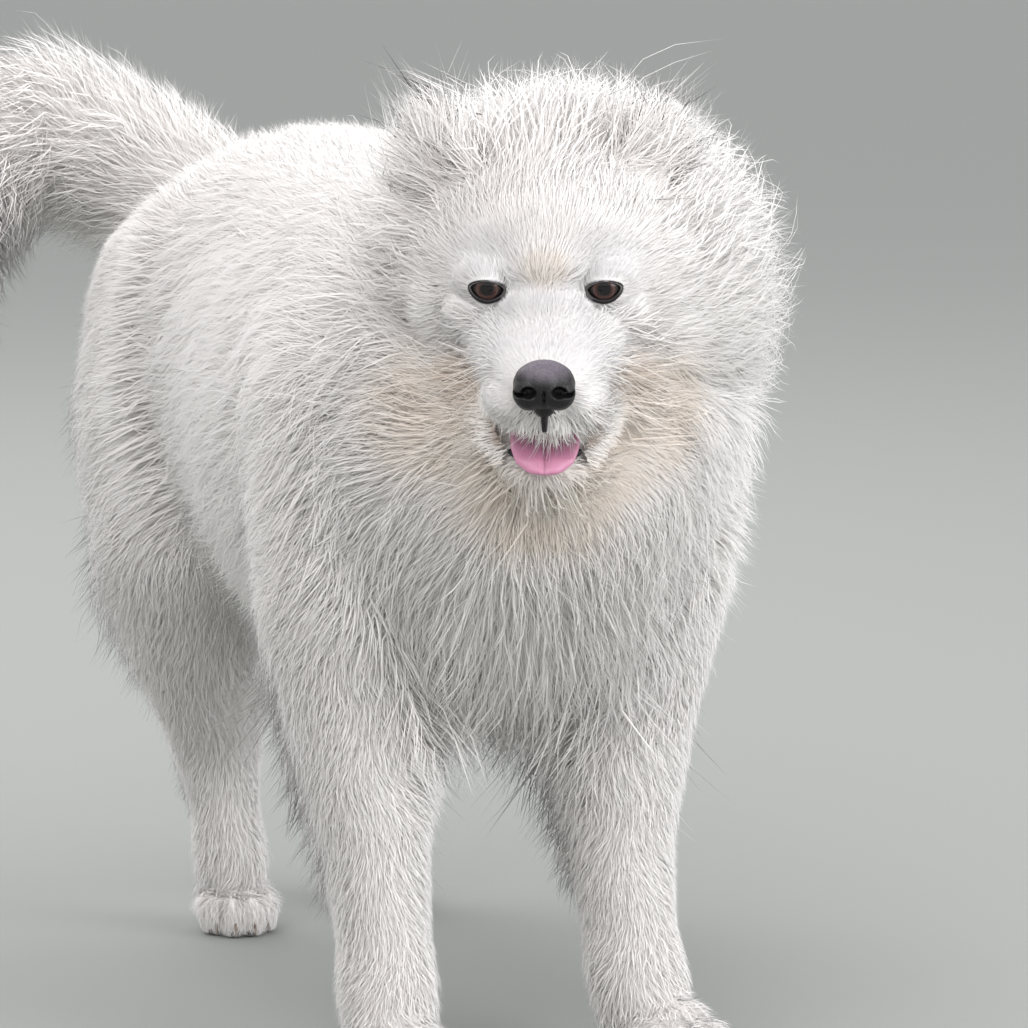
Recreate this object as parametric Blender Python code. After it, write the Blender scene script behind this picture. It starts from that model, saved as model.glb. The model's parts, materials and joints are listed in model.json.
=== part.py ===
"""A standing Samoyed dog as a life-size still model, in metres, +Z up.

The dog faces -Y with its left side at +X. Its head is turned a little to its
right and dipped, its mouth is open and its tail arches over its right side.
Every node is cut from one fused body, so that neighbours meet face to face.
"""

import math
import random
from collections import namedtuple

import bmesh
import bpy
from mathutils import Matrix, Vector
from mathutils.bvhtree import BVHTree

# Driving sizes
GAP = 0.0003
WIDE_GAP = 0.0010
CORE_SHARE = 0.5
LOW_LEG_SHARE = 0.85
WITH_LOCKS = True
WHOLE_TRIANGLES = 1500
HEAD_TRIANGLES = 1900
HEAD_TRUNK_END = -0.150
SEED = 7

# The head's own frame: origin midway between the eyes, nose towards -Y
EYES_AT = Vector((-0.026, -0.388, 0.490))
HEAD_TURN = math.radians(-19.0)
HEAD_DIP = math.radians(14.0)
HEAD_FRAME = (
    Matrix.Translation(EYES_AT)
    @ Matrix.Rotation(HEAD_TURN, 4, "Z")
    @ Matrix.Rotation(HEAD_DIP, 4, "X")
)

EYE_SPREAD = 0.0345
EYE_RADIUS = 0.0115
EYE_DEPTH = 0.0095
EYE_SLANT = math.radians(12.0)

# Trunk stations: y, then (half width, lowest, highest) of the skin and of the coat's tips
TRUNK = (
    (-0.310, (0.068, 0.320, 0.440), (0.118, 0.265, 0.500)),
    (-0.250, (0.092, 0.275, 0.500), (0.160, 0.200, 0.550)),
    (-0.160, (0.106, 0.262, 0.530), (0.172, 0.190, 0.567)),
    (-0.050, (0.108, 0.268, 0.528), (0.164, 0.190, 0.566)),
    (0.060, (0.098, 0.300, 0.526), (0.154, 0.210, 0.566)),
    (0.160, (0.092, 0.335, 0.526), (0.154, 0.255, 0.567)),
    (0.240, (0.080, 0.365, 0.515), (0.140, 0.310, 0.560)),
)
TRUNK_REACH = 0.060

# Ruff stations in the head's frame: centre, then (half width, half height) of skin and tips
RUFF = (
    ((0.002, 0.030, -0.004), (0.052, 0.046), (0.074, 0.070)),
    ((0.006, 0.052, -0.014), (0.060, 0.056), (0.108, 0.102)),
    ((0.010, 0.085, -0.025), (0.064, 0.062), (0.134, 0.124)),
    ((0.012, 0.120, -0.034), (0.068, 0.068), (0.143, 0.132)),
    ((0.012, 0.165, -0.045), (0.078, 0.082), (0.148, 0.138)),
)
RUFF_REACH = 0.024

# Neck from its top in the head's frame to its foot in the trunk, and its radii of skin and tips
NECK_TOP = (0.012, 0.150, -0.055)
NECK_FOOT = (0.0, -0.170, 0.400)
NECK_RADII = (0.080, 0.138)
NECK_REACH = 0.050
NECK_STEPS = 8

# Limb stations of each side: place, skin radius, tips radius
FORELEGS = {
    "right": (
        ((-0.082, -0.205, 0.400), 0.060, 0.078),
        ((-0.098, -0.215, 0.290), 0.045, 0.066),
        ((-0.095, -0.225, 0.210), 0.032, 0.050),
        ((-0.088, -0.240, 0.135), 0.026, 0.039),
        ((-0.085, -0.250, 0.075), 0.024, 0.033),
        ((-0.085, -0.257, 0.035), 0.024, 0.032),
    ),
    "left": (
        ((0.082, -0.205, 0.400), 0.060, 0.078),
        ((0.092, -0.215, 0.290), 0.045, 0.066),
        ((0.080, -0.228, 0.210), 0.032, 0.050),
        ((0.071, -0.246, 0.135), 0.026, 0.039),
        ((0.073, -0.258, 0.075), 0.024, 0.033),
        ((0.077, -0.267, 0.035), 0.024, 0.032),
    ),
}
HINDLEGS = {
    "right": (
        ((-0.070, 0.205, 0.430), 0.075, 0.095),
        ((-0.088, 0.185, 0.350), 0.070, 0.090),
        ((-0.100, 0.160, 0.280), 0.052, 0.076),
        ((-0.088, 0.185, 0.215), 0.038, 0.060),
        ((-0.072, 0.210, 0.155), 0.029, 0.044),
        ((-0.066, 0.222, 0.120), 0.025, 0.034),
        ((-0.062, 0.217, 0.080), 0.020, 0.027),
        ((-0.060, 0.210, 0.035), 0.020, 0.026),
    ),
    "left": (
        ((0.070, 0.205, 0.430), 0.075, 0.095),
        ((0.088, 0.195, 0.350), 0.070, 0.090),
        ((0.100, 0.185, 0.280), 0.052, 0.076),
        ((0.088, 0.225, 0.215), 0.038, 0.060),
        ((0.074, 0.262, 0.155), 0.029, 0.044),
        ((0.070, 0.276, 0.120), 0.025, 0.034),
        ((0.068, 0.268, 0.080), 0.020, 0.027),
        ((0.066, 0.262, 0.035), 0.020, 0.026),
    ),
}

# Tail stations: place, skin radius, tips radius
TAIL = (
    ((0.000, 0.245, 0.465), 0.028, 0.060),
    ((-0.028, 0.315, 0.478), 0.022, 0.066),
    ((-0.080, 0.370, 0.515), 0.019, 0.074),
    ((-0.140, 0.395, 0.545), 0.016, 0.078),
    ((-0.200, 0.385, 0.528), 0.014, 0.078),
    ((-0.242, 0.350, 0.472), 0.012, 0.070),
    ((-0.256, 0.305, 0.412), 0.009, 0.048),
)

# Paws: where the foot's middle is, its half width and length, and the way it turns out
PAWS = {
    "forepaw_right": ((-0.085, -0.272), 0.0345, 0.044, -6.0),
    "forepaw_left": ((0.090, -0.285), 0.0345, 0.044, 16.0),
    "hindpaw_right": ((-0.057, 0.212), 0.0285, 0.039, -4.0),
    "hindpaw_left": ((0.066, 0.262), 0.0285, 0.039, 6.0),
}
PAW_HEIGHT = 0.055
PAW_SINK = 0.007
SOLE = -0.009

# Colours and finishes
FINISHES = {
    "white_coat": ((0.90, 0.87, 0.85), 0.85),
    "black_leather": ((0.030, 0.027, 0.032), 0.45),
    "brown_eye": ((0.050, 0.022, 0.016), 0.08),
    "pink_tongue": ((0.78, 0.30, 0.40), 0.40),
    "black_lip": ((0.020, 0.018, 0.020), 0.40),
}


def clear_scene():
    for thing in list(bpy.data.objects):
        bpy.data.objects.remove(thing, do_unlink=True)


def finish(name):
    material = bpy.data.materials.get(name)
    if material is None:
        colour, roughness = FINISHES[name]
        material = bpy.data.materials.new(name)
        material.use_nodes = True
        shader = material.node_tree.nodes["Principled BSDF"]
        shader.inputs["Base Color"].default_value = (*colour, 1.0)
        shader.inputs["Roughness"].default_value = roughness
        material.diffuse_color = (*colour, 1.0)
    return material


def object_from(name, bm):
    """Makes a mesh object from a bmesh, which it frees."""
    bmesh.ops.recalc_face_normals(bm, faces=bm.faces)
    mesh = bpy.data.meshes.new(name)
    bm.to_mesh(mesh)
    bm.free()
    thing = bpy.data.objects.new(name, mesh)
    bpy.context.scene.collection.objects.link(thing)
    return thing


def settle(thing):
    """Replaces the object's mesh by its evaluated one and drops the modifiers."""
    bpy.context.view_layer.update()
    graph = bpy.context.evaluated_depsgraph_get()
    mesh = bpy.data.meshes.new_from_object(thing.evaluated_get(graph))
    thing.modifiers.clear()
    thing.data = mesh
    return thing


def discard(*things):
    for thing in things:
        bpy.data.objects.remove(thing, do_unlink=True)


def between(skin, tips, share):
    """A size that lies that share of the way from the skin to the coat's tips."""
    if isinstance(skin, tuple):
        return tuple(a + (b - a) * share for a, b in zip(skin, tips))
    return skin + (tips - skin) * share


def mixed(a, b, t):
    """Two rows of numbers, or of rows, blended at t."""
    if isinstance(a, tuple):
        return tuple(mixed(x, y, t) for x, y in zip(a, b))
    return a + (b - a) * t


def filled(stations, steps):
    """The stations with evenly spaced ones put between them."""
    rows = []
    for first, second in zip(stations, stations[1:]):
        rows += [mixed(first, second, i / steps) for i in range(steps)]
    return rows + [stations[-1]]


def add_ball(bm, centre, half, frame=Matrix.Identity(4), subdivisions=3):
    """Adds an ellipsoid with those half sizes, in the given frame."""
    place = frame @ Matrix.Translation(Vector(centre)) @ Matrix.Diagonal((*half, 1.0))
    bmesh.ops.create_icosphere(bm, subdivisions=subdivisions, radius=1.0, matrix=place)


def mirrored(point, side):
    return Vector((point[0] * side, point[1], point[2]))


def add_trunk(bm, share, last=1.0):
    """Adds the trunk, or only its stations ahead of the last y."""
    for y, skin, tips in filled(TRUNK, 8):
        if y > last:
            break
        half_width, low, high = between(skin, tips, share)
        centre = (0.0, y, (low + high) / 2)
        add_ball(bm, centre, (half_width, TRUNK_REACH, (high - low) / 2))


def add_ruff(bm, share):
    for centre, skin, tips in filled(RUFF, 3):
        half_width, half_height = between(skin, tips, share)
        add_ball(bm, centre, (half_width, RUFF_REACH, half_height), HEAD_FRAME)


def add_neck(bm, share):
    start = HEAD_FRAME @ Vector(NECK_TOP)
    for i in range(NECK_STEPS + 1):
        place = start.lerp(Vector(NECK_FOOT), i / NECK_STEPS)
        radius = between(*NECK_RADII, share)
        add_ball(bm, place, (radius, NECK_REACH, radius))


def add_limb(bm, stations, share, least=0.0):
    """Adds a limb, whose stations near the foot keep at least that share of the coat."""
    for place, skin, tips in filled(stations, 4):
        radius = between(skin, tips, max(share, least if place[2] < 0.15 else 0.0))
        add_ball(bm, place, (radius, radius, radius), subdivisions=2)


def add_legs(bm, share):
    for stations in (*FORELEGS.values(), *HINDLEGS.values()):
        add_limb(bm, stations, share, LOW_LEG_SHARE)


def add_tail(bm, share):
    for place, skin, tips in filled(TAIL, 4):
        radius = between(skin, tips, share)
        add_ball(bm, place, (radius, radius, radius), subdivisions=2)


def add_paws(bm):
    """Four toes and a pad for each foot, flat below."""
    for (x, y), half_width, half_length, turn in PAWS.values():
        frame = Matrix.Translation((x, y, SOLE - PAW_SINK)) @ Matrix.Rotation(math.radians(turn), 4, "Z")
        toe_radius = half_width * 0.42
        add_ball(
            bm,
            (0.0, half_length * 0.15, PAW_HEIGHT * 0.46),
            (half_width * 0.90, half_length * 0.72, PAW_HEIGHT * 0.50),
            frame,
        )
        for place, forward in ((-0.62, 0.30), (-0.23, 0.62), (0.23, 0.62), (0.62, 0.30)):
            toe = (half_width * place, -half_length * forward, PAW_HEIGHT * 0.33)
            size = (toe_radius, half_length * 0.40, PAW_HEIGHT * 0.36)
            add_ball(bm, toe, size, frame, subdivisions=2)


# Head pieces in the head's frame: centre, half sizes
SKULL_BALLS = (
    ((0.000, 0.072, 0.004), (0.066, 0.066, 0.058)),
    ((0.000, 0.040, 0.014), (0.050, 0.044, 0.036)),
    ((0.000, 0.028, -0.016), (0.056, 0.030, 0.034)),
    ((0.033, 0.018, 0.003), (0.024, 0.0185, 0.0185)),
    ((-0.033, 0.018, 0.003), (0.024, 0.0185, 0.0185)),
    ((0.048, 0.050, -0.026), (0.040, 0.038, 0.044)),
    ((-0.048, 0.050, -0.026), (0.040, 0.038, 0.044)),
    ((0.040, 0.044, -0.058), (0.036, 0.036, 0.034)),
    ((-0.040, 0.044, -0.058), (0.036, 0.036, 0.034)),
    ((0.000, 0.006, -0.014), (0.032, 0.026, 0.020)),
)
MUZZLE_RINGS = (
    # y, half width, lowest, highest
    (0.020, 0.052, -0.062, 0.002),
    (-0.006, 0.044, -0.060, -0.006),
    (-0.030, 0.037, -0.058, -0.012),
    (-0.050, 0.032, -0.057, -0.016),
    (-0.064, 0.026, -0.055, -0.019),
)
MUZZLE_REACH = 0.013
FLEW = ((0.018, -0.050, -0.048), (0.019, 0.026, 0.014))
JAW_RINGS = (
    # y, half width, lowest, highest
    (0.055, 0.050, -0.116, -0.060),
    (0.025, 0.042, -0.116, -0.064),
    (-0.005, 0.035, -0.115, -0.070),
    (-0.028, 0.029, -0.113, -0.080),
    (-0.043, 0.023, -0.110, -0.088),
)
JAW_REACH = 0.012
MOUTH = (
    # y, z of the open mouth's outline, seen from the side
    (-0.110, -0.0590),
    (0.010, -0.0600),
    (0.010, -0.0620),
    (-0.044, -0.0845),
    (-0.110, -0.1100),
)
MOUTH_HALF_WIDTH = 0.060

# Edges of the lips in the head's frame, on the left side from the middle to the corner
UPPER_LIP = (
    (0.000, -0.0700, -0.0560),
    (0.011, -0.0690, -0.0590),
    (0.022, -0.0600, -0.0610),
    (0.031, -0.0420, -0.0600),
    (0.036, -0.0200, -0.0600),
    (0.038, 0.0060, -0.0615),
)
LOWER_LIP = (
    (0.000, -0.0545, -0.0900),
    (0.011, -0.0530, -0.0890),
    (0.021, -0.0440, -0.0850),
    (0.029, -0.0260, -0.0775),
    (0.035, -0.0080, -0.0700),
    (0.038, 0.0060, -0.0635),
)
LIP_RADIUS = 0.0028
LIP_SIDES = 4


def add_skull(bm):
    for centre, half in SKULL_BALLS:
        add_ball(bm, centre, half, HEAD_FRAME)


def add_muzzle(bm):
    for y, half_width, low, high in filled(MUZZLE_RINGS, 3):
        half = (half_width, MUZZLE_REACH, (high - low) / 2)
        add_ball(bm, (0.0, y, (low + high) / 2), half, HEAD_FRAME)
    for side in (-1, 1):
        add_ball(bm, mirrored(FLEW[0], side), FLEW[1], HEAD_FRAME)


def add_jaw(bm):
    for y, half_width, low, high in filled(JAW_RINGS, 3):
        half = (half_width, JAW_REACH, (high - low) / 2)
        add_ball(bm, (0.0, y, (low + high) / 2), half, HEAD_FRAME)


def mouth_cutter():
    """The open mouth: its side outline run through the whole width of the muzzle."""
    bm = bmesh.new()
    corners = [bm.verts.new(HEAD_FRAME @ Vector((-MOUTH_HALF_WIDTH, y, z))) for y, z in MOUTH]
    outline = bm.faces.new(corners)
    across = HEAD_FRAME.to_3x3() @ Vector((2 * MOUTH_HALF_WIDTH, 0, 0))
    moved = bmesh.ops.extrude_face_region(bm, geom=[outline])["geom"]
    bmesh.ops.translate(bm, vec=across, verts=[v for v in moved if isinstance(v, bmesh.types.BMVert)])
    return object_from("mouth_space", bm)


# Nose in the head's frame: its balls, then the nostrils and the groove that are cut out
NOSE_BALLS = (
    ((0.000, -0.077, -0.0290), (0.0180, 0.0130, 0.0150)),
    ((0.0085, -0.0825, -0.0320), (0.0098, 0.0100, 0.0105)),
    ((-0.0085, -0.0825, -0.0320), (0.0098, 0.0100, 0.0105)),
    ((0.000, -0.0830, -0.0290), (0.0110, 0.0100, 0.0125)),
    ((0.000, -0.0780, -0.0420), (0.0050, 0.0060, 0.0060)),
)
NOSTRIL_BALLS = (
    ((0.0088, -0.0930, -0.0330), (0.0042, 0.0075, 0.0034)),
    ((0.0150, -0.0880, -0.0350), (0.0050, 0.0060, 0.0017)),
)
PHILTRUM = ((0.0, -0.0935, -0.0385), (0.0007, 0.0040, 0.0120))

TONGUE_STATIONS = (
    # y, z, half width, half thickness
    (-0.002, -0.0670, 0.0190, 0.0034),
    (-0.020, -0.0735, 0.0210, 0.0042),
    (-0.036, -0.0795, 0.0215, 0.0046),
    (-0.047, -0.0830, 0.0205, 0.0046),
    (-0.0560, -0.0870, 0.0180, 0.0042),
    (-0.0600, -0.0905, 0.0120, 0.0034),
)

EAR_STATIONS = (
    # height up the ear, half width, half thickness
    (-0.015, 0.022, 0.0110),
    (0.000, 0.025, 0.0115),
    (0.020, 0.026, 0.0110),
    (0.038, 0.022, 0.0095),
    (0.052, 0.016, 0.0080),
    (0.062, 0.010, 0.0065),
)
EAR_FOOT = Vector((0.047, 0.062, 0.034))
EAR_TIP = Vector((0.073, 0.088, 0.080))
EAR_CUP = ((0.0, -0.0125, 0.022), (0.0165, 0.0105, 0.0280))


def ear_frame(side):
    """The ear's own frame: up along the ear, its cup facing forward and a little out."""
    foot = mirrored(EAR_FOOT, side)
    up = (mirrored(EAR_TIP, side) - foot).normalized()
    front = Vector((side * 0.42, -1.0, 0.10))
    front = (front - up * front.dot(up)).normalized()
    right = up.cross(front).normalized()
    turn = Matrix((-right, -front, up)).transposed().to_4x4()
    return HEAD_FRAME @ Matrix.Translation(foot) @ turn


def make_ear(side, name):
    frame = ear_frame(side)
    bm = bmesh.new()
    for height, half_width, half_thick in filled(EAR_STATIONS, 4):
        add_ball(bm, (0, 0, height), (half_width, half_thick, 0.010), frame, subdivisions=2)
    ear = fused(name, bm, 0.0030, 3, 200)
    hollow = bmesh.new()
    add_ball(hollow, *EAR_CUP, frame, subdivisions=2)
    return less(ear, [object_from("cup_space", hollow)])


def make_nose():
    bm = bmesh.new()
    for centre, half in NOSE_BALLS:
        add_ball(bm, centre, half, HEAD_FRAME)
    nose = fused("nose", bm, 0.0016, 4, 240)
    spaces = []
    for side in (-1, 1):
        for centre, half in NOSTRIL_BALLS:
            hollow = bmesh.new()
            add_ball(hollow, mirrored(centre, side), half, HEAD_FRAME, subdivisions=1)
            spaces.append(object_from("nostril_space", hollow))
    groove = bmesh.new()
    add_ball(groove, *PHILTRUM, HEAD_FRAME, subdivisions=1)
    spaces.append(object_from("groove_space", groove))
    return less(nose, spaces)


def tube_through(points, radius, sides):
    """A closed tube through the points, with its ends filled."""
    bm = bmesh.new()
    rings = []
    for i, point in enumerate(points):
        along = (points[min(i + 1, len(points) - 1)] - points[max(i - 1, 0)]).normalized()
        across = along.cross(Vector((0, 0, 1))).normalized()
        up = across.cross(along)
        angles = [math.tau * k / sides for k in range(sides)]
        offsets = [across * math.cos(a) + up * math.sin(a) for a in angles]
        rings.append([bm.verts.new(point + radius * offset) for offset in offsets])
    for first, second in zip(rings, rings[1:]):
        for k in range(sides):
            bm.faces.new((first[k], first[k - 1], second[k - 1], second[k]))
    bm.faces.new(rings[0])
    bm.faces.new(reversed(rings[-1]))
    return object_from("tube", bm)


def make_lips():
    """The rolled edges of both lips, from corner to corner."""
    lips = []
    for edge in (UPPER_LIP, LOWER_LIP):
        points = [mirrored(p, -1) for p in reversed(edge)] + [Vector(p) for p in edge[1:]]
        lips.append(tube_through([HEAD_FRAME @ p for p in points], LIP_RADIUS, LIP_SIDES))
    return lips


def make_tongue():
    bm = bmesh.new()
    for y, z, half_width, half_thick in filled(TONGUE_STATIONS, 4):
        add_ball(bm, (0, y, z), (half_width, 0.0055, half_thick), HEAD_FRAME, subdivisions=2)
    return fused("tongue", bm, 0.0024, 3, 180)


def make_eye(side, name):
    bm = bmesh.new()
    centre = (side * EYE_SPREAD, EYE_DEPTH, 0.0)
    add_ball(bm, centre, (EYE_RADIUS,) * 3, HEAD_FRAME, subdivisions=2)
    return object_from(name, bm)


LID_HALF_LENGTH = 0.0108
LID_HALF_OPENING = 0.0060
LID_THICKNESS = 0.0019
LID_TURNS = 16
LID_SECTION = ((-0.25, -0.45), (0.75, -0.50), (1.50, 1.10), (0.10, 1.40))
EYE_WINDOW_REACH = 0.030


def almond(side):
    """Places round the opening between the lids, in the head's frame."""
    ring = []
    for i in range(LID_TURNS):
        angle = math.tau * i / LID_TURNS
        x = LID_HALF_LENGTH * math.cos(angle)
        z = LID_HALF_OPENING * math.sin(angle) * (1.0 - 0.18 * math.cos(angle) ** 2)
        slanted = Matrix.Rotation(-side * EYE_SLANT, 3, "Y") @ Vector((x, 0, z))
        hug = math.sqrt(EYE_RADIUS**2 - min(slanted.length, EYE_RADIUS * 0.99) ** 2)
        ring.append(Vector((side * EYE_SPREAD, EYE_DEPTH - hug, 0)) + slanted)
    return ring


def make_lids(side):
    """Both eyelids, a ring that hugs the eyeball."""
    bm = bmesh.new()
    ring = almond(side)
    middle = sum(ring, Vector()) / len(ring)
    back = Vector((0, 1, 0))
    loops = []
    for centre in ring:
        outward = (centre - middle).normalized()
        section = [centre + LID_THICKNESS * (outward * a + back * b) for a, b in LID_SECTION]
        loops.append([bm.verts.new(HEAD_FRAME @ point) for point in section])
    for first, second in zip(loops, loops[1:] + loops[:1]):
        for j in range(len(LID_SECTION)):
            bm.faces.new((first[j], first[j - 1], second[j - 1], second[j]))
    return object_from("lids", bm)


def eye_window(side):
    """The space in front of an eye that its lids leave open."""
    bm = bmesh.new()
    ring = almond(side)
    ends = []
    for y in (EYE_DEPTH, -EYE_WINDOW_REACH):
        ends.append([bm.verts.new(HEAD_FRAME @ Vector((p.x, y, p.z))) for p in ring])
    for k in range(LID_TURNS):
        bm.faces.new((ends[0][k], ends[0][k - 1], ends[1][k - 1], ends[1][k]))
    bm.faces.new(ends[0])
    bm.faces.new(reversed(ends[1]))
    return object_from("eye_space", bm)


def fused(name, bm, voxel, rounds, triangles):
    """Fuses the pieces of a bmesh into one closed smooth skin of about that many triangles."""
    thing = object_from(name, bm)
    remesh = thing.modifiers.new("Fuse", "REMESH")
    remesh.mode = "VOXEL"
    remesh.voxel_size = voxel
    smooth = thing.modifiers.new("Soften", "SMOOTH")
    smooth.factor = 0.5
    smooth.iterations = rounds
    settle(thing)
    thing.data.calc_loop_triangles()
    thin = thing.modifiers.new("Thin", "DECIMATE")
    thin.ratio = min(1.0, triangles / len(thing.data.loop_triangles))
    thin.use_collapse_triangulate = True
    return settle(thing)


def half_space(normal, point):
    """The side of a plane towards its normal."""
    normal = Vector(normal).normalized()
    return (normal, normal.dot(Vector(point)))


def cell(name, planes, inset=0.0):
    """The convex space on the inner side of every plane, less the inset."""
    bm = bmesh.new()
    bmesh.ops.create_cube(bm, size=4.0)
    for normal, offset in planes:
        everything = bm.verts[:] + bm.edges[:] + bm.faces[:]
        cut = bmesh.ops.bisect_plane(
            bm,
            geom=everything,
            dist=1e-7,
            plane_co=normal * (offset + inset),
            plane_no=normal,
            clear_inner=True,
        )
        rim = [e for e in cut["geom_cut"] if isinstance(e, bmesh.types.BMEdge)]
        bmesh.ops.contextual_create(bm, geom=rim)
    return object_from(name, bm)


def combine(thing, other, operation):
    """A Boolean of two objects, applied. The second one is kept."""
    change = thing.modifiers.new(operation.title(), "BOOLEAN")
    change.operation = operation
    change.solver = "MANIFOLD"
    change.object = other
    return settle(thing)


def joined(thing, pieces, operation="UNION"):
    """One union with all the pieces, or another Boolean, after which they are removed."""
    if not pieces:
        return thing
    group = bpy.data.collections.new("Pieces")
    bpy.context.scene.collection.children.link(group)
    for piece in pieces:
        bpy.context.scene.collection.objects.unlink(piece)
        group.objects.link(piece)
    change = thing.modifiers.new("Join", "BOOLEAN")
    change.operation = operation
    change.solver = "MANIFOLD"
    change.operand_type = "COLLECTION"
    change.collection = group
    settle(thing)
    discard(*pieces)
    bpy.data.collections.remove(group)
    return thing


def cleared(thing, pieces):
    """One cut with all the pieces, which are then removed."""
    return joined(thing, pieces, "DIFFERENCE")


def volume_of(faces):
    return sum(
        f.verts[0].co.dot(f.verts[i].co.cross(f.verts[i + 1].co)) / 6
        for f in faces
        for i in range(1, len(f.verts) - 1)
    )


def largest_body(thing):
    """Keeps only the largest closed surface of the object."""
    bm = bmesh.new()
    bm.from_mesh(thing.data)
    bm.faces.ensure_lookup_table()
    unseen = set(bm.faces)
    groups = []
    while unseen:
        front = [unseen.pop()]
        group = []
        while front:
            face = front.pop()
            group.append(face)
            for edge in face.edges:
                for near in edge.link_faces:
                    if near in unseen:
                        unseen.discard(near)
                        front.append(near)
        groups.append(group)
    groups.sort(key=volume_of)
    loose = [face for group in groups[:-1] for face in group]
    bmesh.ops.delete(bm, geom=loose, context="FACES")
    stray = [v for v in bm.verts if not v.link_faces]
    bmesh.ops.delete(bm, geom=stray, context="VERTS")
    bm.to_mesh(thing.data)
    bm.free()
    return thing


def copy_of(thing, name):
    twin = bpy.data.objects.new(name, thing.data.copy())
    bpy.context.scene.collection.objects.link(twin)
    return twin


def swollen(thing, by=GAP):
    """A copy of the object that stands that far proud of it all round."""
    twin = copy_of(thing, "swollen")
    puff = twin.modifiers.new("Puff", "DISPLACE")
    puff.strength = by
    puff.mid_level = 0.0
    return settle(twin)


def less(thing, cutters):
    """The object with the cutters taken out of it one by one, and the cutters removed."""
    for cutter in cutters:
        combine(thing, cutter, "DIFFERENCE")
        discard(cutter)
    return thing


def within(thing, planes):
    """The object cut to the inner side of every plane, less half the gap."""
    space = cell("space", planes, GAP / 2)
    combine(thing, space, "INTERSECT")
    discard(space)
    return thing


def outside(thing, planes):
    """The object with the space inside the planes taken out, and half the gap more."""
    return less(thing, [cell("space", planes, -GAP / 2)])


# Cutting planes between the nodes. A head plane is given in the head's frame
def head_plane(normal, point):
    turned = (HEAD_FRAME.to_3x3() @ Vector(normal)).normalized()
    return half_space(turned, HEAD_FRAME @ Vector(point))


def flipped(plane):
    return (-plane[0], -plane[1])


NAPE = head_plane((0, -1, 0), (0, 0.106, 0))
SHOULDER_LINE = half_space((0, -1, 0.75), (0, -0.190, 0.520))
RIB_LINE = half_space((0, -1, 0), (0, -0.070, 0))
LOIN_LINE = half_space((0, -1, 0), (0, 0.085, 0))
TAIL_ROOT = half_space((-0.30, 0.93, 0.20), (-0.015, 0.292, 0.485))
TAIL_FLOOR = half_space((0, 0, 1), (0, 0, 0.425))
TAIL_MIDDLE = half_space((-0.93, 0.20, -0.20), (-0.150, 0.395, 0.55))
ELBOW = 0.225
HIP_LINE = 0.365
HOCK = 0.140
WRIST = 0.042


def box_planes(low, high):
    """The six planes of a box, facing in."""
    planes = []
    for axis in range(3):
        normal = Vector((0, 0, 0))
        normal[axis] = 1
        planes.append((normal.copy(), low[axis]))
        planes.append((-normal, -high[axis]))
    return planes


def leg_cells():
    """The spaces of the legs and paws, each cut from the body with flat faces."""
    cells = {}
    for side, name in ((-1, "right"), (1, "left")):
        inner, outer = sorted((side * 0.030, side * 0.30))
        cells[f"foreleg_{name}"] = box_planes((inner, -0.42, WRIST), (outer, -0.120, ELBOW))
        cells[f"forepaw_{name}"] = box_planes((inner, -0.42, -0.10), (outer, -0.120, WRIST))
        groin = half_space((side * 0.80, 0, -0.60), (side * 0.016, 0, 0.235))
        flank = half_space((0, 0.92, -0.40), (0, 0.080, 0.250))
        middle = half_space((side, 0, 0), (side * 0.012, 0, 0))
        top = half_space((0, 0, -1), (0, 0, HIP_LINE))
        hock_top = half_space((0, 0, 1), (0, 0, HOCK))
        cells[f"thigh_{name}"] = [groin, flank, middle, top, hock_top]
        inner, outer = sorted((side * 0.012, side * 0.30))
        cells[f"hindleg_{name}"] = box_planes((inner, 0.05, WRIST), (outer, 0.42, HOCK))
        cells[f"hindpaw_{name}"] = box_planes((inner, 0.05, -0.10), (outer, 0.42, WRIST))
    return cells


def trunk_cells():
    """The spaces of the neck, trunk and tail lengths, between their cutting planes."""
    return {
        "neck": [flipped(NAPE), SHOULDER_LINE],
        "chest": [flipped(SHOULDER_LINE), RIB_LINE],
        "barrel": [flipped(RIB_LINE), LOIN_LINE],
        "rump": [flipped(LOIN_LINE)],
        "tail_base": [TAIL_ROOT, TAIL_FLOOR, flipped(TAIL_MIDDLE)],
        "tail_plume": [TAIL_ROOT, TAIL_MIDDLE],
    }


# The spaces that a node's core leaves to others
KEPT_CLEAR = {
    "chest": ("foreleg_right", "foreleg_left"),
    "barrel": ("thigh_right", "thigh_left"),
    "rump": ("thigh_right", "thigh_left", "tail"),
}

# Nodes whose locks lie over this one, which is cut clear of them
COVERED_BY = {
    "head": (),
    "neck": ("head",),
    "chest": ("head", "neck"),
    "barrel": ("neck", "chest"),
    "rump": ("barrel",),
    "tail_base": ("rump",),
    "tail_plume": ("rump", "tail_base"),
    "foreleg_right": ("chest", "barrel"),
    "foreleg_left": ("chest", "barrel"),
    "forepaw_right": ("foreleg_right",),
    "forepaw_left": ("foreleg_left",),
    "thigh_right": ("chest", "barrel", "rump"),
    "thigh_left": ("chest", "barrel", "rump"),
    "hindleg_right": ("thigh_right",),
    "hindleg_left": ("thigh_left",),
    "hindpaw_right": ("hindleg_right",),
    "hindpaw_left": ("hindleg_left",),
}


def lock_bounds(name, planes):
    """The planes that a node's locks stay within: those towards the nodes that cover it."""
    if name in ("neck", "chest", "barrel", "rump"):
        return planes[:1]
    if name.startswith("thigh"):
        return planes[:4]
    return planes


def inside(point, planes):
    return all(normal.dot(point) > offset for normal, offset in planes)


def owner_of(path, cells):
    """The node whose space holds the root of the lock."""
    root = path[0][0]
    for name in [*leg_cells(), "tail_plume", "tail_base", "head", "neck", "chest", "barrel", "rump"]:
        if inside(root, cells[name]):
            return name
    return "rump"


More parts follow.
